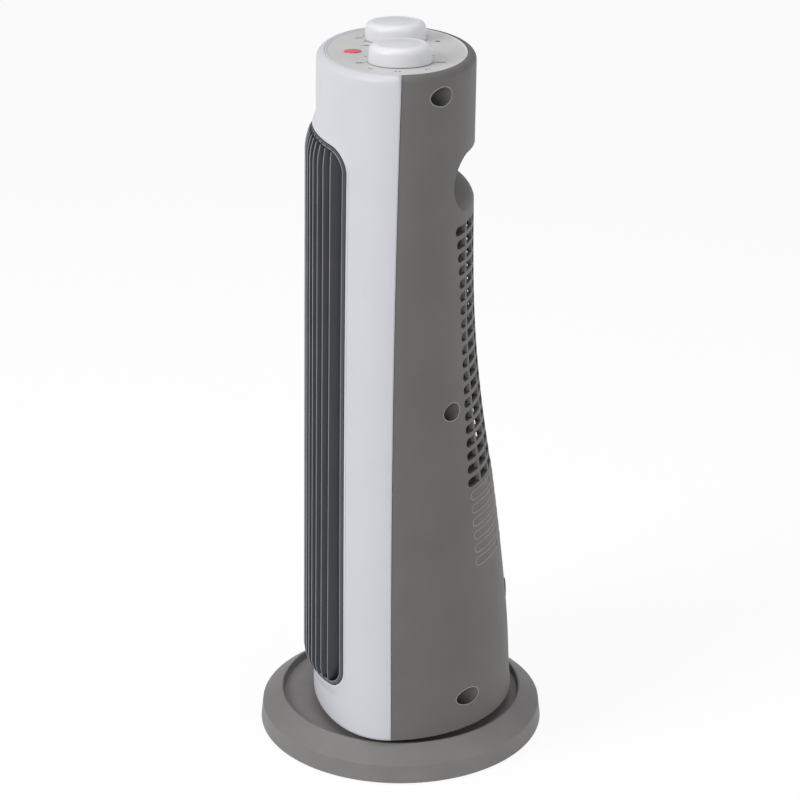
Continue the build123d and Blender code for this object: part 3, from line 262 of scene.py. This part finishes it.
# The outlet's window and what surrounds it, in mm
window_low_middle, window_low_side, window_low_half = 54.5, 62.5, 76.0
window_high_middle, window_high_side, window_high_half = 477.0, 473.0, 70.2
window_corner = 17.0
surround_rise = 2.6
grille_clearance, grille_frame_width = 0.25, 2.4
fin_pairs, fin_pitch_foot, fin_pitch_top = 8, 8.05, 7.4
fin_rise, fin_narrowing = 7.5, 7.0
fin_low_round, fin_high_round = 12.0, 19.0

# Screw wells and closed rows of the rear shell, in mm
well_places = ((75.5, 513.0), (70.5, 282.3), (75.0, 54.3))
well_rim_radius = 6.75
blind_rows, blind_top_z, blind_pitch = 6, 211.4, 10.5
blind_half_height, blind_reach, blind_spread = 3.3, 61.5, 0.25
blind_slit_places = (-27.9, -9.3, 9.3, 27.9)
blind_slit_length = 5.8


# Shape of the tower
def height_part(z):
    return (z - foot_z) / (top_z - foot_z)


def half_width(z):
    return foot_half_width - top_narrowing * height_part(z)


def front_y(z):
    return front_foot_y + front_lean * height_part(z)


def seam_y(z):
    return seam_foot_y + seam_lean * max(0.0, height_part(z)) ** seam_bend


def rear_y(z):
    """Rear of the tower at a height, smooth through the stations."""
    last = len(rear_stations) - 1
    k = max(i for i in range(last) if i == 0 or z >= rear_stations[i][0])
    (z0, y0), (z1, y1) = rear_stations[k], rear_stations[k + 1]

    def slope(i):
        (za, ya), (zb, yb) = rear_stations[max(i - 1, 0)], rear_stations[min(i + 1, last)]
        return (yb - ya) / (zb - za) * (z1 - z0)

    t = (z - z0) / (z1 - z0)
    return (y0 * (2 * t**3 - 3 * t**2 + 1) + slope(k) * (t**3 - 2 * t**2 + t)
            + y1 * (3 * t**2 - 2 * t**3) + slope(k + 1) * (t**3 - t**2))


def front_skin(turn, z, rise=0.0, inset=0.0):
    """Point of the front shell's skin: turn is the angle round from the middle, rise lifts it forwards."""
    seam = seam_y(z) - seam_gap / 2
    reach = seam - front_y(z) - inset + rise
    return Vector(((half_width(z) - inset) * math.sin(turn), seam - reach * math.cos(turn), z)) * MM


def front_turn(place):
    """Angle round the front shell of a place in the front view."""
    return math.asin(place.x / half_width(place.y))


def rear_skin(x, z, lift=0.0):
    """Point of the rear shell's skin at a distance from the middle."""
    seam = seam_y(z)
    return Vector((x, seam + (rear_y(z) - seam) * math.sqrt(1 - (x / half_width(z)) ** 2) + lift, z)) * MM


def rear_out(x):
    """Way out of the rear shell, level, at a distance from the middle."""
    curve_radius = 60.0
    return Vector((x / curve_radius, 1.0, 0.0)).normalized()


# Meshes and pieces
def ring_faces(rows, count, first=0, around=True, back_to_first=False):
    """Faces between rows of points that lie one after another."""
    faces = []
    for row in range(rows if back_to_first else rows - 1):
        low, high = first + row * count, first + (row + 1) % rows * count
        for k in range(count if around else count - 1):
            ahead = (k + 1) % count
            faces.append((low + k, low + ahead, high + ahead, high + k))
    return faces


def plain_mesh(points, faces, edges=()):
    """Mesh straight from its points."""
    mesh = bpy.data.meshes.new("shape")
    mesh.from_pydata([tuple(point) for point in points], list(edges), faces)
    return mesh


def mesh_piece(name, shapes, material, body, smooth=True):
    """One piece at the origin, joined from meshes, that rides on a body."""
    work = bmesh.new()
    for shape in shapes:
        work.from_mesh(shape)
        bpy.data.meshes.remove(shape)
    bmesh.ops.remove_doubles(work, verts=work.verts, dist=0.001 * MM)
    bmesh.ops.recalc_face_normals(work, faces=work.faces)
    mesh = bpy.data.meshes.new(name)
    work.to_mesh(mesh)
    work.free()
    mesh.polygons.foreach_set("use_smooth", [smooth] * len(mesh.polygons))
    mesh.materials.clear()
    mesh.materials.append(material)
    piece = bpy.data.objects.new(name, mesh)
    bpy.context.scene.collection.objects.link(piece)
    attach(piece, body)
    return piece


def evaluated_mesh(thing):
    """Plain mesh of an object with its modifiers or its text."""
    graph = bpy.context.evaluated_depsgraph_get()
    return bpy.data.meshes.new_from_object(thing.evaluated_get(graph))


def give_wall(piece, thickness, offset):
    """Turns a skin into a wall of a thickness in mm."""
    wall = piece.modifiers.new("wall", "SOLIDIFY")
    wall.thickness = thickness * MM
    wall.offset = offset
    mesh = evaluated_mesh(piece)
    piece.modifiers.clear()
    piece.data = mesh


# Beads: rims, noses and outlines are an oval section swept along lines on a surface
def bead_nodes():
    """Geometry Nodes tree of the sweep, and the identifiers of its named inputs."""
    tree = bpy.data.node_groups.new("bead_sweep", "GeometryNodeTree")
    for name, kind in (("Lines", "Geometry"), ("Half width", "Float"), ("Half height", "Float"),
                       ("Sides", "Int"), ("Material", "Material")):
        tree.interface.new_socket(name, in_out="INPUT", socket_type="NodeSocket" + kind)
    tree.interface.new_socket("Bead", in_out="OUTPUT", socket_type="NodeSocketGeometry")
    given = add(tree, "NodeGroupInput").outputs
    out = add(tree, "GeometryNodeInputNamedAttribute", {"Name": "out"}, data_type="FLOAT_VECTOR")
    curve = add(tree, "GeometryNodeMeshToCurve", {"Mesh": given["Lines"]})
    faced = add(tree, "GeometryNodeSetCurveNormal", {"Curve": curve.outputs[0], "Normal": out.outputs[0]},
                mode="FREE")
    circle = add(tree, "GeometryNodeCurvePrimitiveCircle", {"Resolution": given["Sides"], "Radius": 1.0},
                 mode="RADIUS")
    size = add(tree, "ShaderNodeCombineXYZ", {"X": given["Half height"], "Y": given["Half width"], "Z": 1.0})
    oval = add(tree, "GeometryNodeTransform", {"Geometry": circle.outputs[0], "Scale": size.outputs[0]})
    swept = add(tree, "GeometryNodeCurveToMesh", {"Curve": faced.outputs[0], "Profile Curve": oval.outputs[0],
                                                  "Fill Caps": True})
    real = add(tree, "GeometryNodeRealizeInstances", {"Geometry": swept.outputs[0]})
    dressed = add(tree, "GeometryNodeSetMaterial", {"Geometry": real.outputs[0],
                                                    "Material": given["Material"]})
    add(tree, "NodeGroupOutput", {"Bead": dressed.outputs[0]})
    names = {item.name: item.identifier for item in tree.interface.items_tree if item.in_out == "INPUT"}
    return tree, names


bead_tree, bead_inputs = bead_nodes()
bold_sides, fine_sides = 8, 6


def bead(lines, wide, high, sides, material, closed=True):
    """Mesh of beads along lines of (point, way out of the surface); half sizes in mm."""
    points = [point for line in lines for point, out in line]
    edges, first = [], 0
    for line in lines:
        count = len(line)
        edges += [(first + k, first + (k + 1) % count) for k in range(count if closed else count - 1)]
        first += count
    paths = plain_mesh(points, [], edges)
    ways = paths.attributes.new("out", "FLOAT_VECTOR", "POINT")
    ways.data.foreach_set("vector", [value for line in lines for point, out in line for value in out])
    carrier = bpy.data.objects.new("bead_lines", paths)
    bpy.context.scene.collection.objects.link(carrier)
    sweep = carrier.modifiers.new("sweep", "NODES")
    sweep.node_group = bead_tree
    sweep[bead_inputs["Half width"]] = wide * MM
    sweep[bead_inputs["Half height"]] = high * MM
    sweep[bead_inputs["Sides"]] = sides
    sweep[bead_inputs["Material"]] = material
    mesh = evaluated_mesh(carrier)
    bpy.data.objects.remove(carrier)
    return mesh


# Front shell: the skin runs in rings out from the window, so that the surround swells out of it
def bow_radius(half, rise):
    """Radius of a bow over a half width that rises by so much."""
    return (half**2 + rise**2) / (2 * rise)


def aim(angle):
    """Unit vector at an angle."""
    return Vector((math.cos(angle), math.sin(angle)))


def window_ring():
    """Round the window: centre line of its corners, way outwards, and where the skin meets its border.

    The border is the foot, the seam or the shoulder, as (angle round from the middle, height).
    """
    bow_steps, corner_steps, side_steps = 24, 16, 100
    border_turn, border_run = math.radians(62), 30.0
    low_radius = bow_radius(window_low_half, window_low_side - window_low_middle)
    high_radius = bow_radius(window_high_half, window_high_middle - window_high_side)
    low_centre = Vector((0, window_low_middle + low_radius))
    high_centre = Vector((0, window_high_middle - high_radius))
    low_radius, high_radius = low_radius - window_corner, high_radius - window_corner
    side_way = Vector((window_high_half - window_low_half, window_high_side - window_low_side)).normalized()
    side_out = Vector((side_way.y, -side_way.x))
    side_start = Vector((window_low_half, window_low_side)) - side_out * window_corner

    def meet(centre, radius, sign):
        to = side_start - centre
        along, square = to.dot(side_way), to.length_squared - radius**2
        return side_start + side_way * (-along + sign * math.sqrt(along**2 - square))

    low, high = meet(low_centre, low_radius, -1), meet(high_centre, high_radius, 1)
    low_turn = math.atan2(low.x, low_centre.y - low.y)
    high_turn = math.atan2(high.x, high.y - high_centre.y)
    side_turn = math.atan2(side_out.y, side_out.x)

    half = []
    for k in range(bow_steps + 1):
        share = k / bow_steps
        way = aim(low_turn * share - quarter_turn)
        half.append((low_centre + way * low_radius, way, (border_turn * share, foot_z)))
    for k in range(1, corner_steps + 1):
        share = k / corner_steps
        border = (quarter_turn, foot_z + 2 * border_run * (share - 0.5))
        if share < 0.5:
            border = (border_turn + (quarter_turn - border_turn) * 2 * share, foot_z)
        from_turn = low_turn - quarter_turn
        half.append((low, aim(from_turn + (side_turn - from_turn) * share), border))
    for k in range(1, side_steps):
        share = k / side_steps
        height = foot_z + border_run + (shoulder_z - foot_z - 2 * border_run) * share
        half.append((low + (high - low) * share, side_out, (quarter_turn, height)))
    for k in range(corner_steps + 1):
        share = k / corner_steps
        border = (quarter_turn - (quarter_turn - border_turn) * 2 * (share - 0.5), shoulder_z)
        if share < 0.5:
            border = (quarter_turn, shoulder_z - 2 * border_run * (0.5 - share))
        half.append((high, aim(side_turn + (quarter_turn - high_turn - side_turn) * share), border))
    for k in range(1, bow_steps + 1):
        share = 1 - k / bow_steps
        way = aim(quarter_turn - high_turn * share)
        half.append((high_centre + way * high_radius, way, (border_turn * share, shoulder_z)))
    mirror = Vector((-1, 1))
    other = [(core * mirror, way * mirror, (-turn, z)) for core, way, (turn, z) in reversed(half[1:-1])]
    return half + other


def shoulder_line(steps=6):
    """Quarter round of the shoulder as (inset, height), in mm."""
    turns = [quarter_turn * k / steps for k in range(steps + 1)]
    return [(shoulder * (1 - math.cos(turn)), shoulder_z + shoulder * math.sin(turn)) for turn in turns]


def make_front_shell():
    """White shell: a raised round lip at the window that falls softly away to the shell's own curve."""
    lip = ((0.0, 1.5), (0.12, 2.1), (0.4, 2.5), (0.8, surround_rise), (1.3, 2.52), (1.8, 2.25), (2.5, 2.05),
           (3.5, 1.8), (4.8, 1.35), (6.2, 0.75), (7.6, 0.28), (9.2, 0.0))
    lip_width, skin_rings, wall, panel_gap, ledge = lip[-1][0], 18, 2.2, 0.15, 2.6
    ring = window_ring()
    count = len(ring)
    points = []
    for distance, rise in lip:
        for core, way, border in ring:
            place = core + way * (window_corner + distance)
            points.append(front_skin(front_turn(place), place.y, rise))
    for step in range(1, skin_rings + 1):
        share = step / skin_rings
        for core, way, (border_turn, border_z) in ring:
            place = core + way * (window_corner + lip_width)
            turn = front_turn(place)
            z = place.y + (border_z - place.y) * share
            points.append(front_skin(turn + (border_turn - turn) * share, z))
    rows = len(lip) + skin_rings
    faces = ring_faces(rows, count)

    top = [k for k in range(count) if ring[k][2][1] == shoulder_z]
    last = [(rows - 1) * count + k for k in top]
    recess = panel_inset - panel_gap
    for inset, z in shoulder_line()[1:] + [(recess, top_z), (recess, top_z - ledge)]:
        fresh = list(range(len(points), len(points) + len(top)))
        points += [front_skin(ring[k][2][0], z, 0.0, inset) for k in top]
        faces += [(last[i], last[i + 1], fresh[i + 1], fresh[i]) for i in range(len(top) - 1)]
        last = fresh
    shell = mesh_piece("front_shell_skin", [plain_mesh(points, faces)], white_abs, "tower")
    outwards = shell.data.polygons[len(shell.data.polygons) // 3].normal.y < 0
    give_wall(shell, wall, -1.0 if outwards else 1.0)
    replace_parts(shell, "front_shell")


# Outlet grille: the noses of its fins and the inner edge of its frame
def grille_y(x, z, rise, narrowing):
    """How far forward a face of the grille stands, in mm."""
    seam = seam_y(z) - seam_gap / 2
    return seam - (seam - front_y(z) + rise) * math.sqrt(1 - (x / (half_width(z) - narrowing)) ** 2)


def curl(start, end, way, steps=10):
    """Arc from start, tangent to way, that ends at end."""
    chord = end - start
    side = Vector((-way.y, way.x))
    side *= math.copysign(1.0, side.dot(chord))
    radius = chord.length_squared / (2 * side.dot(chord))
    full = 2 * math.asin(min(1.0, chord.length / (2 * radius)))
    turns = [full * k / steps for k in range(steps + 1)]
    return [start + side * radius * (1 - math.cos(turn)) + way * radius * math.sin(turn) for turn in turns]


def fin_nose(place, sink, straight_steps=12, trim=2):
    """Line along the front edge of a fin, sunk into it; place counts pitches from the middle."""
    def pitch(z):
        return fin_pitch_foot + (fin_pitch_top - fin_pitch_foot) * height_part(z)

    def bowed(side, middle, x):
        return middle + (side - middle) * (x / window_high_half) ** 2

    x_middle = place * pitch((window_low_middle + window_high_middle) / 2)
    low = bowed(window_low_side, window_low_middle, x_middle)
    high = bowed(window_high_side, window_high_middle, x_middle)
    x_low, x_high = place * pitch(low), place * pitch(high)
    z_low, z_high = low + fin_low_round, high - fin_high_round
    start = Vector((grille_y(x_low, z_low, fin_rise, fin_narrowing), z_low))
    end = Vector((grille_y(x_high, z_high, fin_rise, fin_narrowing), z_high))
    way = (end - start).normalized()
    upper = curl(end, Vector((grille_y(x_high, high, surround_rise, 0.0), high)), way)
    lower = curl(start, Vector((grille_y(x_low, low, surround_rise, 0.0), low)), -way)
    middle = [start + (end - start) * k / straight_steps for k in range(1, straight_steps)]
    side_view = lower[::-1] + middle + upper
    line = []
    for k in range(trim, len(side_view) - trim):
        y, z = side_view[k]
        run = (side_view[k + 1] - side_view[k - 1]).normalized()
        out = Vector((0.0, -run.y, run.x))
        x = x_low + (x_high - x_low) * (z - low) / (high - low)
        line.append((Vector((x, y, z)) * MM - out * sink * MM, out))
    return line


def make_grille_edges():
    """Rounded noses of the fins and the thin inner edge of the frame, made bright with a painted highlight.
    """
    nose_half, nose_height, nose_sink = 1.06, 0.5, 0.1
    edge_half, edge_height, edge_rise, edge_tilt = 0.42, 0.35, 2.75, 0.7
    noses = [fin_nose(side * (index + 0.5), nose_sink) for side in (-1, 1) for index in range(fin_pairs)]
    edge = []
    for core, way, border in window_ring():
        place = core + way * (window_corner - grille_clearance - grille_frame_width)
        turn = front_turn(place)
        out = Vector((math.sin(turn) * edge_tilt, -math.cos(turn), 0.0)).normalized()
        edge.append((front_skin(turn, place.y, edge_rise), out))
    shapes = [bead(noses, nose_half, nose_height, bold_sides, charcoal_painted_highlight, closed=False),
              bead([edge], edge_half, edge_height, bold_sides, charcoal_painted_highlight)]
    mesh_piece("outlet_grille_edges", shapes, charcoal_painted_highlight, "tower")


# Rear shell: rims of its wells, corner of its shoulder, and the closed rows below the intake
def rear_line(outline, lift=0.0):
    """Line on the rear shell through places in the rear view."""
    return [(rear_skin(x, z, lift), rear_out(x)) for x, z in outline]


def make_well_rims():
    """Thin pale rim round the mouth of each screw well, on the shell's own curve: a painted highlight along
    the edge.
    """
    around, rim_half, rim_height = 40, 0.4, 0.22
    circle = [aim(2 * math.pi * k / around) * well_rim_radius for k in range(around)]
    rims = [rear_line([(side * (x_well + at.x), z_well + at.y) for at in circle])
            for x_well, z_well in well_places for side in (-1, 1)]
    beads = bead(rims, rim_half, rim_height, fine_sides, grey_painted_highlight)
    mesh_piece("rear_shell_well_rims", [beads], grey_painted_highlight, "tower")


def make_rear_shoulder():
    """Corner of the rear shell's shoulder beside the seam, a hair under the shell's own skin."""
    hair, wall, start_z, straight = 0.05, 1.2, 500.0, 10
    first_turn, turn_step, turn_count = math.radians(0.2), math.radians(0.9), 9
    centre_reach = 10 * MM
    profile = [(3 * hair, start_z), (3 * hair, shoulder_z - straight)]
    profile += [(inset + 2 * hair, z - hair) for inset, z in shoulder_line()]
    shapes = []
    for side in (-1, 1):
        points = []
        for inset, z in profile:
            seam = seam_y(z) + seam_gap / 2
            for turn in (first_turn + turn_step * k for k in range(turn_count)):
                x = side * (half_width(z) - inset) * math.cos(turn)
                points.append(Vector((x, seam + (rear_y(z) - seam - inset) * math.sin(turn), z)) * MM)
        shapes.append(plain_mesh(points, ring_faces(len(profile), turn_count, around=False)))
    piece = mesh_piece("rear_shell_shoulder", shapes, grey_abs, "tower")
    for face in piece.data.polygons:
        if face.normal.x * face.center.x + face.normal.z * centre_reach < 0:
            face.flip()
    give_wall(piece, wall, -1.0)


def blind_outline(z_row, reach):
    """Outline of a closed row: straight above and below, round at its ends."""
    step, end_turns = 4, [math.radians(angle) for angle in range(10, 180, 20)]
    half = [(x, z_row + blind_half_height) for x in range(0, int(reach) - step + 1, step)]
    half += [(reach - blind_half_height + blind_half_height * math.sin(turn),
              z_row + blind_half_height * math.cos(turn)) for turn in end_turns]
    half += [(x, z_row - blind_half_height) for x in range(int(reach) - step, -1, -step)]
    return half + [(-x, z) for x, z in reversed(half) if x > 0]


def make_blind_rows():
    """Faint outlines of the closed rows in painted highlight, and the dark slits beside their ribs in painted
    shade.
    """
    line_half, slit_half, line_height, slit_sink = 0.4, 0.5, 0.2, 0.1
    heights = [blind_top_z - blind_pitch * row for row in range(blind_rows)]
    outlines = [rear_line(blind_outline(z, blind_reach + blind_spread * row))
                for row, z in enumerate(heights)]
    rows = bead(outlines, line_half, line_height, fine_sides, grey_painted_highlight)
    mesh_piece("rear_shell_blind_rows", [rows], grey_painted_highlight, "tower")
    # Painted shade: black beads sunk into the skin stand for the shade in the slits beside the ribs
    rises = (-blind_slit_length / 2, 0.0, blind_slit_length / 2)
    uprights = [rear_line([(x, z + rise) for rise in rises], -slit_sink)
                for z in heights for x in blind_slit_places]
    slits = bead(uprights, slit_half, line_height, fine_sides, black_nylon, closed=False)
    mesh_piece("rear_shell_blind_slits", [slits], black_nylon, "tower")


# Knobs
def make_knob(name, x, node, body):
    """Knob with an upright skirt, a full round shoulder and a fine ring pressed into its flat top."""
    around, face_radius, shoulder_wide, shoulder_high, skirt_height = 96, 16.1, 5.75, 4.8, 8.1
    top = [(0.0, 12.68), (14.3, 12.72), (15.0, 12.55), (15.5, 12.72), (face_radius, 12.9)]
    turns = [math.radians(angle) for angle in range(9, 91, 9)]
    round_edge = [(face_radius + shoulder_wide * math.sin(turn),
                   skirt_height + shoulder_high * math.cos(turn)) for turn in turns]
    skirt = [(22.1, 4.0), (22.3, 1.2), (22.4, 0.35), (22.2, 0.0)]
    hollow = [(20.4, 0.0), (19.2, 7.5), (15.4, 10.4), (0.0, 10.4)]
    profile = top + round_edge + skirt + hollow
    points = []
    for radius, height in profile:
        for at in (aim(2 * math.pi * k / around) * radius for k in range(around)):
            points.append(Vector((x + at.x, knob_y + at.y, panel_z + knob_lift + height)) * MM)
    shape = plain_mesh(points, ring_faces(len(profile), around))
    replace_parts(mesh_piece(name, [shape], knob_acrylic, body), node)


# Top panel: printed marks and the raised edge round it
def slab(outline, low, high):
    """Mesh of an upright slab of an outline, in mm."""
    n = len(outline)
    points = [Vector((x, y, z)) * MM for z in (low, high) for x, y in outline]
    caps = [tuple(reversed(range(n))), tuple(range(n, 2 * n))]
    return plain_mesh(points, caps + ring_faces(2, n))


def dot(x, y, radius, sides=16):
    """Outline of a round mark."""
    turns = [2 * math.pi * k / sides for k in range(sides)]
    return [(x + radius * math.cos(turn), y + radius * math.sin(turn)) for turn in turns]


def tick(x, y, length, width, turn):
    """Outline of a short bar turned to a knob."""
    along, across = aim(turn) * length / 2, aim(turn + quarter_turn) * width / 2
    corners = (-along - across, along - across, along + across, across - along)
    return [(x + corner.x, y + corner.y) for corner in corners]


def make_panel_marks():
    """Dots, ticks and a wedge round the knobs, and the plain words at the ends of their turns."""
    ink_low, ink_high = panel_z - 0.02, panel_z + 0.05
    small, fine, bold = 0.9, 0.8, 1.7
    tick_length, tick_width = 2.6, 1.0
    dots = ((-49.4, -24.6, small), (-47.5, 21.0, small), (-28.1, 27.8, bold), (19.8, -25.2, small),
            (67.9, -3.8, fine), (61.1, 16.9, fine), (59.4, -22.4, fine), (20.2, 22.0, fine),
            (57.9, -24.0, fine), (68.1, -6.6, fine), (63.0, 14.6, fine))
    ticks = ((-30.2, -24.5), (42.5, 20.4), (37.5, -24.4))
    wedge = [(-18.2, -28.6), (-14.8, -23.0), (-15.6, -20.6), (-17.2, -23.4)]
    outlines = [dot(*place) for place in dots]
    for x, y in ticks:
        turn = math.atan2(y - knob_y, x - math.copysign(knob_x, x))
        outlines.append(tick(x, y, tick_length, tick_width, turn))
    shapes = [slab(outline, ink_low, ink_high) for outline in outlines + [wedge]]
    mesh_piece("panel_marks", shapes, ink, "tower", smooth=False)
    for word, x, y in (("MIN", 40.4, -30.0), ("MAX", 41.1, 25.6), ("OFF", -42.5, -28.2)):
        make_dial_word(word, x, y)


def make_dial_word(word, x, y):
    """Word printed on the panel, read from the right-hand side; its place is in its mesh."""
    letter_height, ink_half, bolder, lift = 3.0, 0.03, 0.16, 0.02
    name = "dial_word_" + word.lower()
    curve = bpy.data.curves.new(name, "FONT")
    curve.body = word
    curve.size, curve.extrude, curve.offset = letter_height * MM, ink_half * MM, bolder * MM
    curve.align_x, curve.align_y = "CENTER", "CENTER"
    text = bpy.data.objects.new("word", curve)
    bpy.context.scene.collection.objects.link(text)
    mesh = evaluated_mesh(text)
    bpy.data.objects.remove(text)
    place = Matrix.Translation(Vector((x, y, panel_z + lift)) * MM)
    mesh.transform(place @ Matrix.Rotation(quarter_turn, 4, "Z"))
    mesh.materials.clear()
    mesh.materials.append(ink)
    piece = bpy.data.objects.new(name, mesh)
    bpy.context.scene.collection.objects.link(piece)
    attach(piece, "tower")


def make_panel_edge():
    """Low rounded rim round the panel, which catches the light beside the grey shell."""
    around = 160
    profile = ((0.1, -0.4), (0.15, 0.3), (0.5, 0.55), (1.0, 0.6), (1.5, 0.45), (1.9, 0.05), (2.0, -0.4))
    seam = seam_y(panel_z)
    points = []
    for inset, height in profile:
        for at in (aim(2 * math.pi * k / around) for k in range(around)):
            reach = rear_y(panel_z) - seam if at.y > 0 else seam - front_y(panel_z)
            x = (half_width(panel_z) - panel_inset - inset) * at.x
            y = seam + (reach - panel_inset - inset) * at.y
            points.append(Vector((x, y, panel_z + height)) * MM)
    shape = plain_mesh(points, ring_faces(len(profile), around, back_to_first=True))
    mesh_piece("panel_edge", [shape], white_abs, "tower")


# CAD nodes
def finish_cad_nodes():
    """Each CAD node gets its finish, and smooth shading that breaks at its real edges."""
    same_point, sharp_edge = 0.01 * MM, math.radians(28)
    for name, (material, slot) in finishes.items():
        node = nodes[name]
        node.data.materials.clear()
        node.data.materials.append(material)
        node.data.polygons.foreach_set("use_smooth", [True] * len(node.data.polygons))
        weld = node.modifiers.new("weld", "WELD")
        weld.merge_threshold = same_point
        split = node.modifiers.new("edges", "EDGE_SPLIT")
        split.split_angle = sharp_edge


# Floor, light and backdrop
def make_floor():
    """Pale floor that keeps a soft shadow and looks white to the camera and in reflections."""
    half, white_share, white_strength = 30, 0.86, 1.04
    mesh = bpy.data.meshes.new("floor")
    corners = [(-half, -half, 0), (half, -half, 0), (half, half, 0), (-half, half, 0)]
    mesh.from_pydata(corners, [], [(0, 1, 2, 3)])
    floor = bpy.data.objects.new("floor", mesh)
    bpy.context.scene.collection.objects.link(floor)
    material, tree, place = start_material("floor_paper")
    path = add(tree, "ShaderNodeLightPath").outputs
    seen = add(tree, "ShaderNodeMath", {0: path["Is Camera Ray"], 1: path["Is Glossy Ray"]},
               operation="MAXIMUM")
    seen = add(tree, "ShaderNodeMath", {0: seen.outputs[0], 1: path["Is Transmission Ray"]},
               operation="MAXIMUM")
    share = add(tree, "ShaderNodeMath", {0: seen.outputs[0], 1: white_share}, operation="MULTIPLY")
    fibre = add(tree, "ShaderNodeTexNoise", {"Vector": place, "Scale": 400.0, "Detail": 2.0})
    bump = add(tree, "ShaderNodeBump", {"Height": fibre.outputs["Fac"], "Distance": 0.05 * MM,
                                        "Strength": 0.3})
    paper = add(tree, "ShaderNodeBsdfDiffuse", {"Color": linear("#EFEFEF"), "Normal": bump.outputs[0]})
    white = add(tree, "ShaderNodeEmission", {"Color": (1, 1, 1, 1), "Strength": white_strength})
    mixed = add(tree, "ShaderNodeMixShader", {0: share.outputs[0], 1: paper.outputs[0], 2: white.outputs[0]})
    add(tree, "ShaderNodeOutputMaterial", {"Surface": mixed.outputs[0]})
    mesh.materials.append(material)


def make_lamp(name, place, aim, size, power):
    """Large soft lamp that looks at a point."""
    data = bpy.data.lights.new(name, "AREA")
    data.shape = "RECTANGLE"
    data.size, data.size_y = size
    data.energy = power
    lamp = bpy.data.objects.new(name, data)
    lamp.location = place
    lamp.rotation_euler = (Vector(aim) - Vector(place)).to_track_quat("-Z", "Y").to_euler()
    bpy.context.scene.collection.objects.link(lamp)


def make_light():
    """Key from the front, fill from behind, a lamp above, and a pale room that the camera sees as white."""
    make_lamp("key_lamp", (1.1, -2.1, 1.7), (0, 0, 0.3), (1.3, 1.3), 34)
    make_lamp("fill_lamp", (1.6, 1.5, 1.1), (0, 0, 0.25), (1.6, 1.6), 9)
    make_lamp("top_lamp", (0.1, -0.2, 2.4), (0, 0, 0.3), (1.6, 1.6), 14)
    world = bpy.data.worlds.new("studio")
    bpy.context.scene.world = world
    world.use_nodes = True
    tree = world.node_tree
    tree.nodes.clear()
    path = add(tree, "ShaderNodeLightPath").outputs
    dim = add(tree, "ShaderNodeBackground", {"Color": linear("#F4F6FA"), "Strength": 0.42})
    white = add(tree, "ShaderNodeBackground", {"Color": (1, 1, 1, 1), "Strength": 1.0})
    seen = add(tree, "ShaderNodeMath", {0: path["Is Camera Ray"], 1: path["Is Transmission Ray"]},
               operation="MAXIMUM")
    mixed = add(tree, "ShaderNodeMixShader", {0: seen.outputs[0], 1: dim.outputs[0], 2: white.outputs[0]})
    add(tree, "ShaderNodeOutputWorld", {"Surface": mixed.outputs[0]})
    bpy.context.scene.view_settings.view_transform = "Standard"


make_camera()
finish_cad_nodes()
make_front_shell()
make_grille_edges()
make_well_rims()
make_rear_shoulder()
make_knob("selector_knob_frosted", -knob_x, "selector_knob", "selector")
make_knob("thermostat_knob_frosted", knob_x, "thermostat_knob", "thermostat_control")
make_blind_rows()
make_panel_marks()
make_panel_edge()
make_floor()
make_light()
